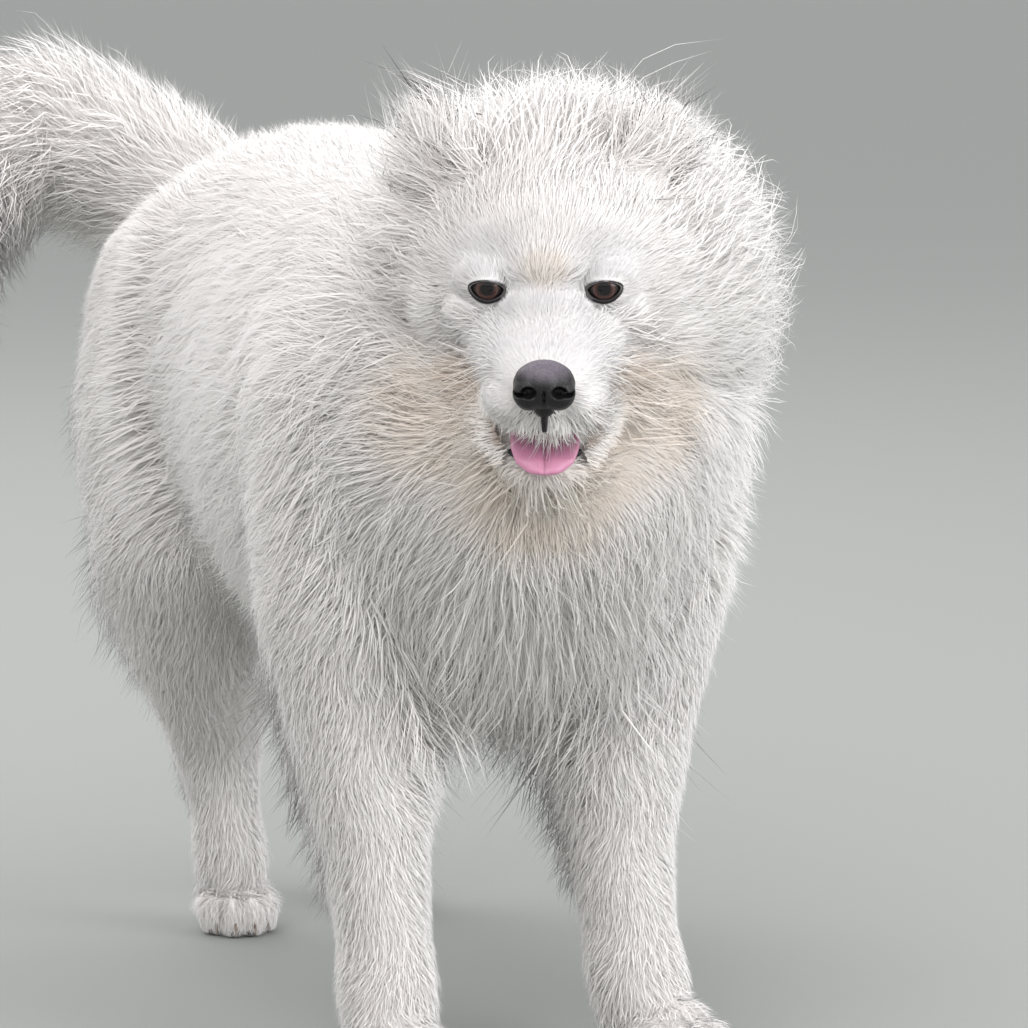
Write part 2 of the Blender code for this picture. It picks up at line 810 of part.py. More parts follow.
def make_whole(share):
    body = bmesh.new()
    add_trunk(body, share)
    add_neck(body, share)
    add_ruff(body, share)
    add_legs(body, share)
    add_tail(body, share)
    add_paws(body)
    return fused("whole", body, 0.008, 8, WHOLE_TRIANGLES)


def make_head_core(share):
    face = bmesh.new()
    add_skull(face)
    add_muzzle(face)
    add_jaw(face)
    add_ruff(face, share)
    add_neck(face, share)
    add_trunk(face, share, HEAD_TRUNK_END)
    return fused("head_core", face, 0.004, 6, HEAD_TRIANGLES)


# Locks of the coat: length, half width, thickness, height of the tip above the core, how
# closely the lock follows the core, and how far its tip sinks under its own weight
Coat = namedtuple("Coat", "length half_width thickness lift cling droop")
CHEEK = Coat(0.066, 0.022, 0.011, 0.016, 0.75, 0.006)
MANE = Coat(0.098, 0.030, 0.013, 0.032, 0.70, 0.006)
CROWN = Coat(0.070, 0.026, 0.012, 0.022, 0.80, 0.000)
BIB = Coat(0.110, 0.034, 0.013, 0.024, 0.70, 0.004)
FRINGE = Coat(0.085, 0.028, 0.012, 0.010, 0.10, 0.022)
BEARD = Coat(0.085, 0.026, 0.012, 0.020, 0.30, 0.016)
BACK = Coat(0.125, 0.040, 0.014, 0.022, 0.85, 0.000)
FLANK = Coat(0.125, 0.040, 0.014, 0.025, 0.80, 0.006)
BELLY = Coat(0.110, 0.036, 0.013, 0.016, 0.40, 0.018)
BREECH = Coat(0.105, 0.032, 0.013, 0.019, 0.55, 0.010)
FEATHER = Coat(0.070, 0.019, 0.010, 0.011, 0.40, 0.008)
PLUME = Coat(0.125, 0.036, 0.013, 0.026, 0.55, 0.010)

LOCK_RINGS = (
    # shares of the length, of the lift, of the width and of the thickness
    (0.00, 0.00, 0.55, 1.00),
    (0.38, 0.62, 1.00, 1.00),
    (0.76, 0.92, 0.66, 0.62),
    (1.00, 1.00, 0.00, 0.00),
)
LOCK_SINK = 0.010
LENGTH_VARIES = 0.12
SWERVE = 0.16
CLEAR_SIDEWAYS = 5.0
DOWN = Vector((0, 0, -1))
BACKWARD = Vector((0, 1, 0))


def along_surface(direction, normal):
    """The direction laid flat on the surface."""
    return (direction - normal * direction.dot(normal)).normalized()


def lock_path(surface, coat, root, normal, lie, chance):
    """Middles of a lock's rings, each with its half width and half thickness as vectors."""
    length = coat.length * (1 + LENGTH_VARIES * chance.uniform(-1, 1))
    heading = along_surface(lie, normal)
    heading = (heading + normal.cross(heading) * SWERVE * chance.uniform(-1, 1)).normalized()
    turn = SWERVE * chance.uniform(-1, 1)
    path = []
    place, last = root, 0.0
    for t, rise, wide, thick in LOCK_RINGS:
        place = place + heading * length * (t - last)
        near, face_normal, _, _ = surface.find_nearest(place)
        place = place.lerp(near, coat.cling)
        normal = normal.lerp(face_normal, coat.cling * 0.6).normalized()
        heading = along_surface(heading + normal.cross(heading) * turn * (t - last), normal)
        last = t
        sink = LOCK_SINK * (1 - t) ** 2
        centre = place + normal * (coat.lift * rise - sink) + DOWN * coat.droop * t * t
        across = normal.cross(heading) * coat.half_width * wide
        path.append((centre, across, normal * coat.thickness / 2 * thick))
    return path


def lock_faces(path, clear=0.0):
    """Corners and triangles of the flat three-sided lock along a path, grown by the clearance."""
    corners, triangles = [], []
    for i, (centre, across, upward) in enumerate(path[:-1]):
        side = across + across.normalized() * clear * CLEAR_SIDEWAYS
        rise = upward + upward.normalized() * clear
        if i == 0:
            centre = centre - (path[1][0] - centre).normalized() * clear
        corners += [centre + side - rise, centre + rise, centre - side - rise]
    onward = (path[-1][0] - path[-2][0]).normalized()
    corners.append(path[-1][0] + onward * clear * CLEAR_SIDEWAYS)
    tip = len(corners) - 1
    for first in range(0, tip, 3):
        for k in range(3):
            here, before = first + k, first + (k - 1) % 3
            if first + 3 == tip:
                triangles.append((here, before, tip))
            else:
                triangles += [(here, before, here + 3), (before, before + 3, here + 3)]
    triangles.append((0, 1, 2))
    return corners, triangles


def is_sound(path):
    """Whether a lock's faces keep off each other, and inside the space that clears it."""
    corners, triangles = lock_faces(path)
    body = BVHTree.FromPolygons(corners, triangles)
    if any(not set(triangles[i]) & set(triangles[j]) for i, j in body.overlap(body)):
        return False
    return not any(BVHTree.FromPolygons(*lock_faces(path, room)).overlap(body) for room in (GAP, WIDE_GAP))


def lock_body(path, clear=0.0):
    corners, triangles = lock_faces(path, clear)
    bm = bmesh.new()
    verts = [bm.verts.new(corner) for corner in corners]
    for triangle in triangles:
        bm.faces.new([verts[i] for i in triangle])
    return object_from("lock", bm)


def paths_from(surface, coat, sights, chance):
    """A lock's path from each place where a sight line meets the core: from, towards, lie."""
    paths = []
    for start, towards, lie in sights:
        start, towards = Vector(start), Vector(towards)
        way = (towards - start).normalized()
        root, normal, _, _ = surface.ray_cast(start, way, (towards - start).length)
        if root is None:
            continue
        path = lock_path(surface, coat, root, normal, lie, chance)
        if is_sound(path):
            paths.append(path)
    return paths


def round_face(y, centre, turns, first, last, back):
    """Sight lines to a ring round the head's axis. Angles count from the dog's left, upwards."""
    sights = []
    to_world = HEAD_FRAME.to_3x3()
    for k in range(turns):
        angle = math.radians(first + (last - first) * (k + 0.5) / turns)
        radial = Vector((math.cos(angle), 0, math.sin(angle)))
        middle = Vector((centre[0], y, centre[1]))
        lie = to_world @ (radial * (1 - back) + BACKWARD * back)
        sights.append((HEAD_FRAME @ (middle + radial * 0.18), HEAD_FRAME @ middle, lie))
    return sights


def round_trunk(y, height, turns, first, last, fall):
    """Sight lines to a ring round the trunk. Angles count from the dog's left, upwards."""
    sights = []
    for k in range(turns):
        angle = math.radians(first + (last - first) * (k + 0.5) / turns)
        radial = Vector((math.cos(angle), 0, math.sin(angle)))
        middle = Vector((0, y, height))
        lie = BACKWARD + DOWN * fall * abs(math.cos(angle))
        sights.append((middle + radial * 0.4, middle, lie))
    return sights


def round_limb(axis, height, turns, first, last, lie):
    """Sight lines to a ring round a limb. Angles count from the front, over its outer side."""
    sights = []
    side = 1 if axis[0] > 0 else -1
    for k in range(turns):
        angle = math.radians(first + (last - first) * (k + 0.5) / turns)
        radial = Vector((side * math.sin(angle), -math.cos(angle), 0))
        middle = Vector((axis[0], axis[1], height))
        away = Vector((radial.x * lie[0], radial.y * lie[0] + lie[1], -lie[2]))
        sights.append((middle + radial * 0.11, middle, away))
    return sights


def station_at(stations, height):
    """The place on a limb's axis at that height."""
    for (upper, _, _), (lower, _, _) in zip(stations, stations[1:]):
        if upper[2] >= height >= lower[2]:
            t = (upper[2] - height) / (upper[2] - lower[2])
            return mixed(upper, lower, t)
    return stations[-1][0]


def head_sights():
    """Cheeks, mane and crown, ring behind ring."""
    return (
        (CHEEK, round_face(0.046, (0.004, -0.016), 8, -58, 238, 0.25)),
        (MANE, round_face(0.068, (0.008, -0.022), 9, -62, 242, 0.35)),
        (MANE, round_face(0.098, (0.010, -0.030), 9, -50, 230, 0.55)),
        (MANE, round_face(0.134, (0.012, -0.040), 9, -36, 216, 0.80)),
        (CROWN, round_face(0.050, (0.000, 0.010), 2, 66, 114, 0.90)),
        (BEARD, throat_sights()),
    )


def throat_sights():
    """Sight lines from below and ahead to the throat, just behind the jaw."""
    sights = []
    for x in THROAT_PLACES:
        start, towards = Vector((x, -0.500, 0.280)), Vector((x, -0.300, 0.400))
        sights.append((start, towards, DOWN + BACKWARD * 0.2 + Vector((2.0 * x, 0, 0))))
    return sights


def neck_sights():
    return ((MANE, round_trunk(-0.225, 0.430, 6, -16, 196, 0.9)),)


def trunk_sights():
    """Back, flanks and belly, row behind row, each row set between those of the last."""
    rows = []
    for row, y in enumerate(TRUNK_ROWS):
        shift = 8 if row % 2 else -2
        rows.append((BACK, round_trunk(y, 0.395, 2, 55 + shift, 125 + shift, 0.2)))
        rows.append((FLANK, round_trunk(y, 0.395, 3, -46 + shift, 55 + shift, 0.75)))
        rows.append((FLANK, round_trunk(y, 0.395, 3, 125 + shift, 226 + shift, 0.75)))
    for y in (-0.150, -0.070, 0.010):
        rows.append((BELLY, round_trunk(y, 0.390, 2, -118, -62, 0.0)))
    return rows


def chest_sights():
    """The bib, row under row, and the fringe between the forelegs."""
    rows = []
    for z, turns, half in BIB_ROWS:
        sights = []
        for k in range(turns):
            angle = math.radians(-half + 2 * half * (k + 0.5) / turns)
            radial = Vector((math.sin(angle), -math.cos(angle), 0))
            middle = Vector((0, -0.215, z))
            lie = DOWN + radial * 0.1 + Vector((radial.x * 0.25, 0.25, 0))
            sights.append((middle + radial * 0.4, middle, lie))
        rows.append((BIB, sights))
    fringe = []
    for x in (-0.045, 0.0, 0.045):
        lie = Vector((-3.0 * x, 0.35, -1.0))
        fringe.append(((x, -0.60, 0.265), (x, -0.10, 0.265), lie))
    rows.append((FRINGE, fringe))
    return rows


def limb_sights():
    rows = []
    for stations in FORELEGS.values():
        for z in (0.205, 0.160, 0.118):
            axis = station_at(stations, z)
            rows.append((FEATHER, round_limb(axis, z, 2, 120, 225, (0.30, 0.30, 1.0))))
        axis = station_at(stations, 0.250)
        rows.append((BIB, round_limb(axis, 0.250, 1, 40, 120, (0.0, 0.1, 1.0))))
    for stations in HINDLEGS.values():
        for z, turns in ((0.345, 4), (0.275, 4), (0.215, 3)):
            axis = station_at(stations, z)
            rows.append((BREECH, round_limb(axis, z, turns, 25, 230, (0.15, 0.45, 1.0))))
        axis = station_at(stations, 0.168)
        rows.append((FEATHER, round_limb(axis, 0.168, 2, 115, 235, (0.15, 0.35, 1.0))))
    return rows


def rear_sights():
    sights = []
    for z, turns in ((0.470, 3), (0.410, 4)):
        for k in range(turns):
            angle = math.radians(-70 + 140 * (k + 0.5) / turns)
            radial = Vector((math.sin(angle), math.cos(angle), 0))
            middle = Vector((0, 0.200, z))
            sights.append((middle + radial * 0.4, middle, DOWN + radial * 0.25))
    return ((BREECH, sights),)


def tail_sights():
    """Rings of plume along the tail, whose locks leave it and sweep towards its tip."""
    rows = []
    for i, (place, _, _) in enumerate(TAIL[1:-1], 1):
        middle = Vector(place)
        along = (Vector(TAIL[i + 1][0]) - Vector(TAIL[i - 1][0])).normalized()
        side = along.cross(Vector((0, 0, 1))).normalized()
        top = side.cross(along)
        sights = []
        for k in range(PLUME_TURNS):
            angle = math.tau * (k + 0.5 * (i % 2)) / PLUME_TURNS
            radial = side * math.cos(angle) + top * math.sin(angle)
            sights.append((middle + radial * 0.12, middle, along + radial * 0.35))
        rows.append((PLUME, sights))
    tip = Vector(TAIL[-1][0])
    along = (tip - Vector(TAIL[-2][0])).normalized()
    side = along.cross(Vector((0, 0, 1))).normalized()
    ends = []
    for x in (-1, 0, 1):
        foot = tip + side * x * 0.02
        ends.append((foot + along * 0.1, foot, along + side * x * 0.3))
    rows.append((PLUME, ends))
    return rows


THROAT_PLACES = (-0.070, -0.020, 0.030)
TRUNK_ROWS = (-0.160, -0.075, 0.010, 0.095, 0.175)
BIB_ROWS = (
    # height, locks, half of the turn that the row covers in degrees
    (0.412, 3, 58),
    (0.365, 4, 75),
    (0.318, 5, 70),
    (0.272, 4, 62),
)
PLUME_TURNS = 4


def grow_locks(core):
    """The path of every lock of the coat, from its root sunk in the core."""
    surface = BVHTree.FromPolygons(
        [v.co for v in core.data.vertices], [p.vertices for p in core.data.polygons]
    )
    chance = random.Random(SEED)
    paths = []
    groups = (
        head_sights(),
        neck_sights(),
        trunk_sights(),
        chest_sights(),
        limb_sights(),
        rear_sights(),
        tail_sights(),
    )
    for rows in groups:
        for coat, sights in rows:
            paths += paths_from(surface, coat, sights, chance)
    return paths


def make_head(head, inserts, locks):
    """The head with its open mouth, lids and the seats of its eyes, nose, tongue and ears."""
    joined(head, locks)
    less(head, [mouth_cutter(), eye_window(-1), eye_window(1)])
    joined(head, [make_lids(-1), make_lids(1), *make_lips()])
    less(head, [swollen(insert) for insert in inserts])
    return largest_body(head)


def meets(path, thing):
    """Whether the lock's surface comes nearer to the object's than the gap."""
    tree = BVHTree.FromPolygons(*lock_faces(path, GAP * 0.9))
    places = [v.co for v in thing.data.vertices]
    return bool(tree.overlap(BVHTree.FromPolygons(places, [p.vertices for p in thing.data.polygons])))


def make_nodes(head_core, whole, inserts):
    """The head and every node of the body, each with its own locks and clear of the others."""
    cells = {"head": [NAPE, SHOULDER_LINE], **trunk_cells(), **leg_cells()}
    clear = {**cells, "tail": [TAIL_ROOT, TAIL_FLOOR]}
    floor = half_space((0, 0, 1), (0, 0, SOLE))
    paths = {name: [] for name in cells}
    if WITH_LOCKS:
        core = joined(copy_of(whole, "core"), [copy_of(head_core, "head_core")])
        for path in grow_locks(core):
            paths[owner_of(path, cells)].append(path)
        discard(core)
    nodes = list(inserts)
    for name, planes in cells.items():
        node = within(copy_of(head_core if name == "head" else whole, name), planes)
        for other in KEPT_CLEAR.get(name, ()):
            outside(node, clear[other])
        if "paw" in name:
            within(node, [floor])
        locks = [lock_body(path) for path in paths[name]]
        if name == "head":
            make_head(node, inserts, locks)
        else:
            joined(node, locks)
        if locks and name != "head":
            within(node, lock_bounds(name, planes))
        covers = [path for other in COVERED_BY[name] for path in paths[other]]
        for room in (GAP, WIDE_GAP):
            meeting = [path for path in covers if meets(path, node)]
            cleared(node, [lock_body(path, room) for path in meeting])
        if name in ("neck", "chest"):
            less(node, [swollen(ear) for ear in inserts if "ear" in ear.name])
        largest_body(node)
        nodes.append(node)
    return nodes


NODE_FINISHES = {
    "eye": "brown_eye",
    "nose": "black_leather",
    "tongue": "pink_tongue",
}


def set_down(nodes):
    """Moves all the nodes so that the origin is below their middle, at the level of the soles."""
    corners = [v.co for node in nodes for v in node.data.vertices]
    low = [min(c[i] for c in corners) for i in range(3)]
    high = [max(c[i] for c in corners) for i in range(3)]
    move = Vector((-(low[0] + high[0]) / 2, -(low[1] + high[1]) / 2, -low[2]))
    for node in nodes:
        node.data.transform(Matrix.Translation(move))
    return move


def main():
    clear_scene()
    share = CORE_SHARE if WITH_LOCKS else 1.0
    inserts = [
        make_eye(-1, "eye_right"),
        make_eye(1, "eye_left"),
        make_nose(),
        make_tongue(),
        make_ear(-1, "ear_right"),
        make_ear(1, "ear_left"),
    ]
    head_core = make_head_core(share)
    whole = make_whole(share)
    nodes = make_nodes(head_core, whole, inserts)
    discard(whole, head_core)
    for node in nodes:
        kind = node.name.split("_")[0]
        node.data.materials.clear()
        node.data.materials.append(finish(NODE_FINISHES.get(kind, "white_coat")))
    set_down(nodes)
    return nodes


if __name__ == "__main__":
    main()
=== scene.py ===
"""A standing Samoyed as a life-size museum model: one skin, its coat in tufts, and its face.

The dog faces -Y with its left side at +X. Shapes are made in the dog's own frame and
set down at the end by SET_DOWN, which the place of the left eye gives.
"""

import json
import math
from collections import namedtuple

import bmesh
import bpy
import numpy as np
from mathutils import Matrix, Vector
from mathutils.bvhtree import BVHTree
from mathutils.kdtree import KDTree

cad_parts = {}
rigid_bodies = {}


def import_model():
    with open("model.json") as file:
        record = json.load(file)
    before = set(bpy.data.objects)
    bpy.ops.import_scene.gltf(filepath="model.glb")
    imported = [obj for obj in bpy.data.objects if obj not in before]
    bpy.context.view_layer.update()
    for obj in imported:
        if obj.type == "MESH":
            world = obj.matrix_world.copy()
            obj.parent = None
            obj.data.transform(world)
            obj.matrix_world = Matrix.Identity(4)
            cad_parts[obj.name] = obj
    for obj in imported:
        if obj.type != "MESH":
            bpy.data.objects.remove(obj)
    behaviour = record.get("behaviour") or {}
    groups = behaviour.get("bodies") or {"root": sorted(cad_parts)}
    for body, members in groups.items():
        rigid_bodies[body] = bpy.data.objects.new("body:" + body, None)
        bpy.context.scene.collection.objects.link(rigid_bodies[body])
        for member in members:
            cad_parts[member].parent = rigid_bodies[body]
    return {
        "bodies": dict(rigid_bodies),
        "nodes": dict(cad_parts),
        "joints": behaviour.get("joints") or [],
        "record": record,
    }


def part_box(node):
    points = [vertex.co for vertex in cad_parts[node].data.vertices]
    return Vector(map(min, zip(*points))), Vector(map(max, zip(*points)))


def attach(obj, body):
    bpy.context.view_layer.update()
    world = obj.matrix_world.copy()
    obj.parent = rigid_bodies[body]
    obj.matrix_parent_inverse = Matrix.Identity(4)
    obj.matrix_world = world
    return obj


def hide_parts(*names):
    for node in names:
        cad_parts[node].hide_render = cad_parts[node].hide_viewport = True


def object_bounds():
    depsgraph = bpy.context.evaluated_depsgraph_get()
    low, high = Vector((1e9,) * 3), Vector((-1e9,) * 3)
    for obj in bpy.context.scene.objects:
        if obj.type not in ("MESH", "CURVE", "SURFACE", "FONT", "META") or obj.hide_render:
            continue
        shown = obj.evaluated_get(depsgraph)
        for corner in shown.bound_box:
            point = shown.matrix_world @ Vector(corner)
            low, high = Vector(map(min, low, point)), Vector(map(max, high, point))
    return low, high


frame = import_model()
cad_low, cad_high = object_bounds()

SEED = 11

# The head's own frame: origin midway between the eyes, nose towards -Y
EYES_AT = Vector((-0.026, -0.388, 0.490))
HEAD_TURN = math.radians(-19.0)
HEAD_DIP = math.radians(14.0)
HEAD_FRAME = (
    Matrix.Translation(EYES_AT)
    @ Matrix.Rotation(HEAD_TURN, 4, "Z")
    @ Matrix.Rotation(HEAD_DIP, 4, "X")
)
EYE_SPREAD = 0.0345
EYE_RADIUS = 0.0115
EYE_DEPTH = 0.0095
EYE_SLANT = math.radians(5.0)


def set_down_move():
    """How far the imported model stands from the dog's own frame."""
    low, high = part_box("eye_left")
    return (low + high) / 2 - HEAD_FRAME @ Vector((EYE_SPREAD, EYE_DEPTH, 0.0))


SET_DOWN = set_down_move()

# Trunk stations: y, then (half width, lowest, highest) of the flesh and of the coat's tips
TRUNK = (
    (-0.310, (0.068, 0.320, 0.440), (0.118, 0.265, 0.500)),
    (-0.250, (0.092, 0.275, 0.500), (0.160, 0.200, 0.550)),
    (-0.160, (0.106, 0.262, 0.530), (0.172, 0.190, 0.567)),
    (-0.050, (0.108, 0.268, 0.528), (0.164, 0.190, 0.566)),
    (0.060, (0.098, 0.300, 0.526), (0.154, 0.210, 0.566)),
    (0.160, (0.092, 0.335, 0.526), (0.154, 0.255, 0.567)),
    (0.240, (0.080, 0.365, 0.515), (0.140, 0.310, 0.560)),
)
TRUNK_REACH = 0.060

# Ruff stations in the head's frame: centre, then (half width, half height) of flesh and tips
RUFF = (
    ((0.002, 0.030, -0.004), (0.052, 0.046), (0.074, 0.070)),
    ((0.006, 0.052, -0.014), (0.060, 0.056), (0.108, 0.102)),
    ((0.010, 0.085, -0.025), (0.064, 0.062), (0.134, 0.124)),
    ((0.012, 0.120, -0.034), (0.068, 0.068), (0.143, 0.132)),
    ((0.012, 0.165, -0.045), (0.078, 0.082), (0.148, 0.138)),
)
RUFF_REACH = 0.024
NECK_TOP = (0.012, 0.150, -0.055)
NECK_FOOT = (0.0, -0.170, 0.400)
NECK_RADII = (0.080, 0.138)
NECK_REACH = 0.050
NECK_STEPS = 8

# Limb stations: place, flesh radius, tips radius
FORELEGS = (
    (
        ((-0.082, -0.205, 0.400), 0.060, 0.078),
        ((-0.098, -0.215, 0.290), 0.045, 0.066),
        ((-0.095, -0.225, 0.210), 0.032, 0.050),
        ((-0.088, -0.240, 0.135), 0.026, 0.039),
        ((-0.085, -0.250, 0.075), 0.024, 0.033),
        ((-0.085, -0.257, 0.035), 0.024, 0.032),
    ),
    (
        ((0.082, -0.205, 0.400), 0.060, 0.078),
        ((0.092, -0.215, 0.290), 0.045, 0.066),
        ((0.080, -0.228, 0.210), 0.032, 0.050),
        ((0.071, -0.246, 0.135), 0.026, 0.039),
        ((0.073, -0.258, 0.075), 0.024, 0.033),
        ((0.077, -0.267, 0.035), 0.024, 0.032),
    ),
)
HINDLEGS = (
    (
        ((-0.070, 0.205, 0.430), 0.075, 0.095),
        ((-0.088, 0.185, 0.350), 0.070, 0.090),
        ((-0.100, 0.160, 0.280), 0.052, 0.076),
        ((-0.088, 0.185, 0.215), 0.038, 0.060),
        ((-0.072, 0.210, 0.155), 0.029, 0.044),
        ((-0.066, 0.222, 0.120), 0.025, 0.034),
        ((-0.062, 0.217, 0.080), 0.020, 0.027),
        ((-0.060, 0.210, 0.035), 0.020, 0.026),
    ),
    (
        ((0.070, 0.205, 0.430), 0.075, 0.095),
        ((0.088, 0.195, 0.350), 0.070, 0.090),
        ((0.100, 0.185, 0.280), 0.052, 0.076),
        ((0.088, 0.225, 0.215), 0.038, 0.060),
        ((0.074, 0.262, 0.155), 0.029, 0.044),
        ((0.070, 0.276, 0.120), 0.025, 0.034),
        ((0.068, 0.268, 0.080), 0.020, 0.027),
        ((0.066, 0.262, 0.035), 0.020, 0.026),
    ),
)
TAIL = (
    ((0.000, 0.245, 0.465), 0.028, 0.060),
    ((-0.028, 0.315, 0.478), 0.022, 0.066),
    ((-0.080, 0.370, 0.515), 0.019, 0.074),
    ((-0.140, 0.395, 0.545), 0.016, 0.078),
    ((-0.200, 0.385, 0.528), 0.014, 0.078),
    ((-0.242, 0.350, 0.472), 0.012, 0.070),
    ((-0.256, 0.305, 0.412), 0.009, 0.048),
)

# Paws: where the foot's middle is, its half width and length, and the way it turns out
PAWS = {
    "forepaw_right": ((-0.085, -0.272), 0.0345, 0.044, -6.0),
    "forepaw_left": ((0.090, -0.285), 0.0345, 0.044, 16.0),
    "hindpaw_right": ((-0.057, 0.212), 0.0285, 0.039, -4.0),
    "hindpaw_left": ((0.066, 0.262), 0.0285, 0.039, 6.0),
}
PAW_HEIGHT = 0.055
# The paw's middle and its toes as shares of its half width, half length and height
PAW_MIDDLE = (0.90, 0.72, 0.50)
PAW_MIDDLE_AT = (0.15, 0.46)
TOE_SIZE = (0.42, 0.40, 0.36)
TOE_LIFT = 0.33
PAW_SINK = 0.007
SOLE = -0.009
TOES = ((-0.62, 0.30), (-0.23, 0.62), (0.23, 0.62), (0.62, 0.30))

# Head pieces in the head's frame: centre, half sizes, depth of the coat over them
SKULL_BALLS = (
    ((0.000, 0.072, 0.004), (0.066, 0.066, 0.058), 0.012),
    ((0.000, 0.040, 0.014), (0.050, 0.044, 0.036), 0.007),
    ((0.000, 0.028, -0.016), (0.056, 0.030, 0.034), 0.006),
    ((0.033, 0.018, 0.003), (0.024, 0.0185, 0.0185), 0.0022),
    ((-0.033, 0.018, 0.003), (0.024, 0.0185, 0.0185), 0.0022),
    ((0.048, 0.050, -0.026), (0.040, 0.038, 0.044), 0.012),
    ((-0.048, 0.050, -0.026), (0.040, 0.038, 0.044), 0.012),
    ((0.040, 0.044, -0.058), (0.036, 0.036, 0.034), 0.010),
    ((-0.040, 0.044, -0.058), (0.036, 0.036, 0.034), 0.010),
    ((0.000, 0.006, -0.014), (0.032, 0.026, 0.020), 0.003),
    ((0.000, 0.016, 0.008), (0.032, 0.020, 0.022), 0.003),
    ((0.034, 0.015, -0.018), (0.026, 0.016, 0.018), 0.003),
    ((-0.034, 0.015, -0.018), (0.026, 0.016, 0.018), 0.003),
)
MUZZLE_RINGS = (
    # y, half width, lowest, highest
    (0.020, 0.052, -0.062, 0.002),
    (-0.006, 0.044, -0.060, -0.006),
    (-0.030, 0.037, -0.058, -0.012),
    (-0.050, 0.032, -0.057, -0.016),
    (-0.064, 0.026, -0.055, -0.019),
)
MUZZLE_REACH = 0.013
FLEW = ((0.018, -0.050, -0.048), (0.019, 0.026, 0.014))
JAW_RINGS = (
    # y, half width, lowest, highest
    (0.055, 0.050, -0.116, -0.060),
    (0.025, 0.042, -0.116, -0.064),
    (-0.005, 0.035, -0.115, -0.070),
    (-0.028, 0.029, -0.113, -0.080),
    (-0.043, 0.023, -0.110, -0.088),
)
JAW_REACH = 0.012
MUZZLE_COAT = 0.0028
JAW_COAT = 0.0045

MOUTH = (
    # y, z of the open mouth's outline, seen from the side
    (-0.110, -0.0590),
    (0.010, -0.0600),
    (0.010, -0.0620),
    (-0.044, -0.0845),
    (-0.110, -0.1100),
)
MOUTH_HALF_WIDTH = 0.060

# Edges of the lips in the head's frame, on the left side from the middle to the corner
UPPER_LIP = (
    (0.000, -0.0700, -0.0560),
    (0.011, -0.0690, -0.0590),
    (0.022, -0.0600, -0.0610),
    (0.031, -0.0420, -0.0600),
    (0.036, -0.0200, -0.0600),
    (0.038, 0.0060, -0.0615),
)
LOWER_LIP = (
    (0.000, -0.0545, -0.0900),
    (0.011, -0.0530, -0.0890),
    (0.021, -0.0440, -0.0850),
    (0.029, -0.0260, -0.0775),
    (0.035, -0.0080, -0.0700),
    (0.038, 0.0060, -0.0635),
)

NOSE_BALLS = (
    ((0.0072, -0.0785, -0.0275), (0.0098, 0.0100, 0.0088)),
    ((-0.0072, -0.0785, -0.0275), (0.0098, 0.0100, 0.0088)),
    ((0.000, -0.077, -0.0315), (0.0182, 0.0130, 0.0150)),
    ((0.0085, -0.0825, -0.0345), (0.0098, 0.0100, 0.0105)),
    ((-0.0085, -0.0825, -0.0345), (0.0098, 0.0100, 0.0105)),
    ((0.000, -0.0830, -0.0315), (0.0110, 0.0100, 0.0125)),
    ((0.000, -0.0780, -0.0450), (0.0064, 0.0062, 0.0062)),
)
NOSTRIL_BALLS = (
    ((0.0090, -0.0930, -0.0318), (0.0048, 0.0085, 0.0036)),
    ((0.0155, -0.0880, -0.0338), (0.0050, 0.0065, 0.0016)),
)
PHILTRUM = ((0.0, -0.0935, -0.0375), (0.0009, 0.0048, 0.0140))

TONGUE_STATIONS = (
    # y, z, half width, half thickness
    (-0.002, -0.0670, 0.0190, 0.0034),
    (-0.020, -0.0735, 0.0210, 0.0042),
    (-0.036, -0.0795, 0.0215, 0.0046),
    (-0.047, -0.0830, 0.0205, 0.0046),
    (-0.0560, -0.0870, 0.0180, 0.0042),
    (-0.0600, -0.0905, 0.0120, 0.0034),
)

EAR_STATIONS = (
    # height up the ear, half width, half thickness
    (-0.015, 0.022, 0.0110),
    (0.000, 0.025, 0.0115),
    (0.020, 0.026, 0.0110),
    (0.038, 0.022, 0.0095),
    (0.052, 0.016, 0.0080),
    (0.062, 0.010, 0.0065),
)
EAR_FOOT = Vector((0.047, 0.062, 0.034))
EAR_TIP = Vector((0.073, 0.088, 0.080))
EAR_CUP = ((0.0, -0.0125, 0.022), (0.0165, 0.0105, 0.0280))
EAR_COAT = 0.0025

# The fur of the crown and of the upper lip's middle, beyond the tables
CROWN_BALL = ((-0.006, 0.080, -0.005), (0.126, 0.055, 0.118))
LIP_MIDDLE = ((0.0, -0.054, -0.0500), (0.020, 0.0235, 0.0125))
LID_THICKNESS = 0.0017

# How the skin and the coat are made
SKIN_SHARE = 0.42
LOW_LEG_SHARE = 0.35
LOW_LEG_BELOW = 0.15
PAW_COAT = 0.0050
TOE_COAT_SHARE = 0.7
LIP_COAT = 0.001
SKIN_ABOVE_SOLE = 0.0022
BODY_VOXEL = 0.0065
HEAD_VOXEL = 0.0022
TIPS_VOXEL = 0.0060
NOSE_VOXEL = 0.0007
MOST_DEPTH = 0.052
LEAST_DEPTH = 0.0020

# Balls put between two stations, along each form
TRUNK_STEPS = 8
LIMB_STEPS = 4
EAR_STEPS = 4
EAR_REACH = 0.010
HEAD_STEPS = 3

CAMERA_PLACE = Vector((-1.0325, -3.4254, 0.765))
CAMERA_TURN = math.radians(-18.0)
CAMERA_DIP = math.radians(7.27)
CAMERA_LENS = 190.5
SENSOR = 36.0


# Making meshes


def linked(name, mesh):
    thing = bpy.data.objects.new(name, mesh)
    bpy.context.scene.collection.objects.link(thing)
    return thing


def object_from(name, bm):
    """Makes a mesh object from a bmesh, which it frees."""
    bmesh.ops.recalc_face_normals(bm, faces=bm.faces)
    mesh = bpy.data.meshes.new(name)
    bm.to_mesh(mesh)
    bm.free()
    return linked(name, mesh)


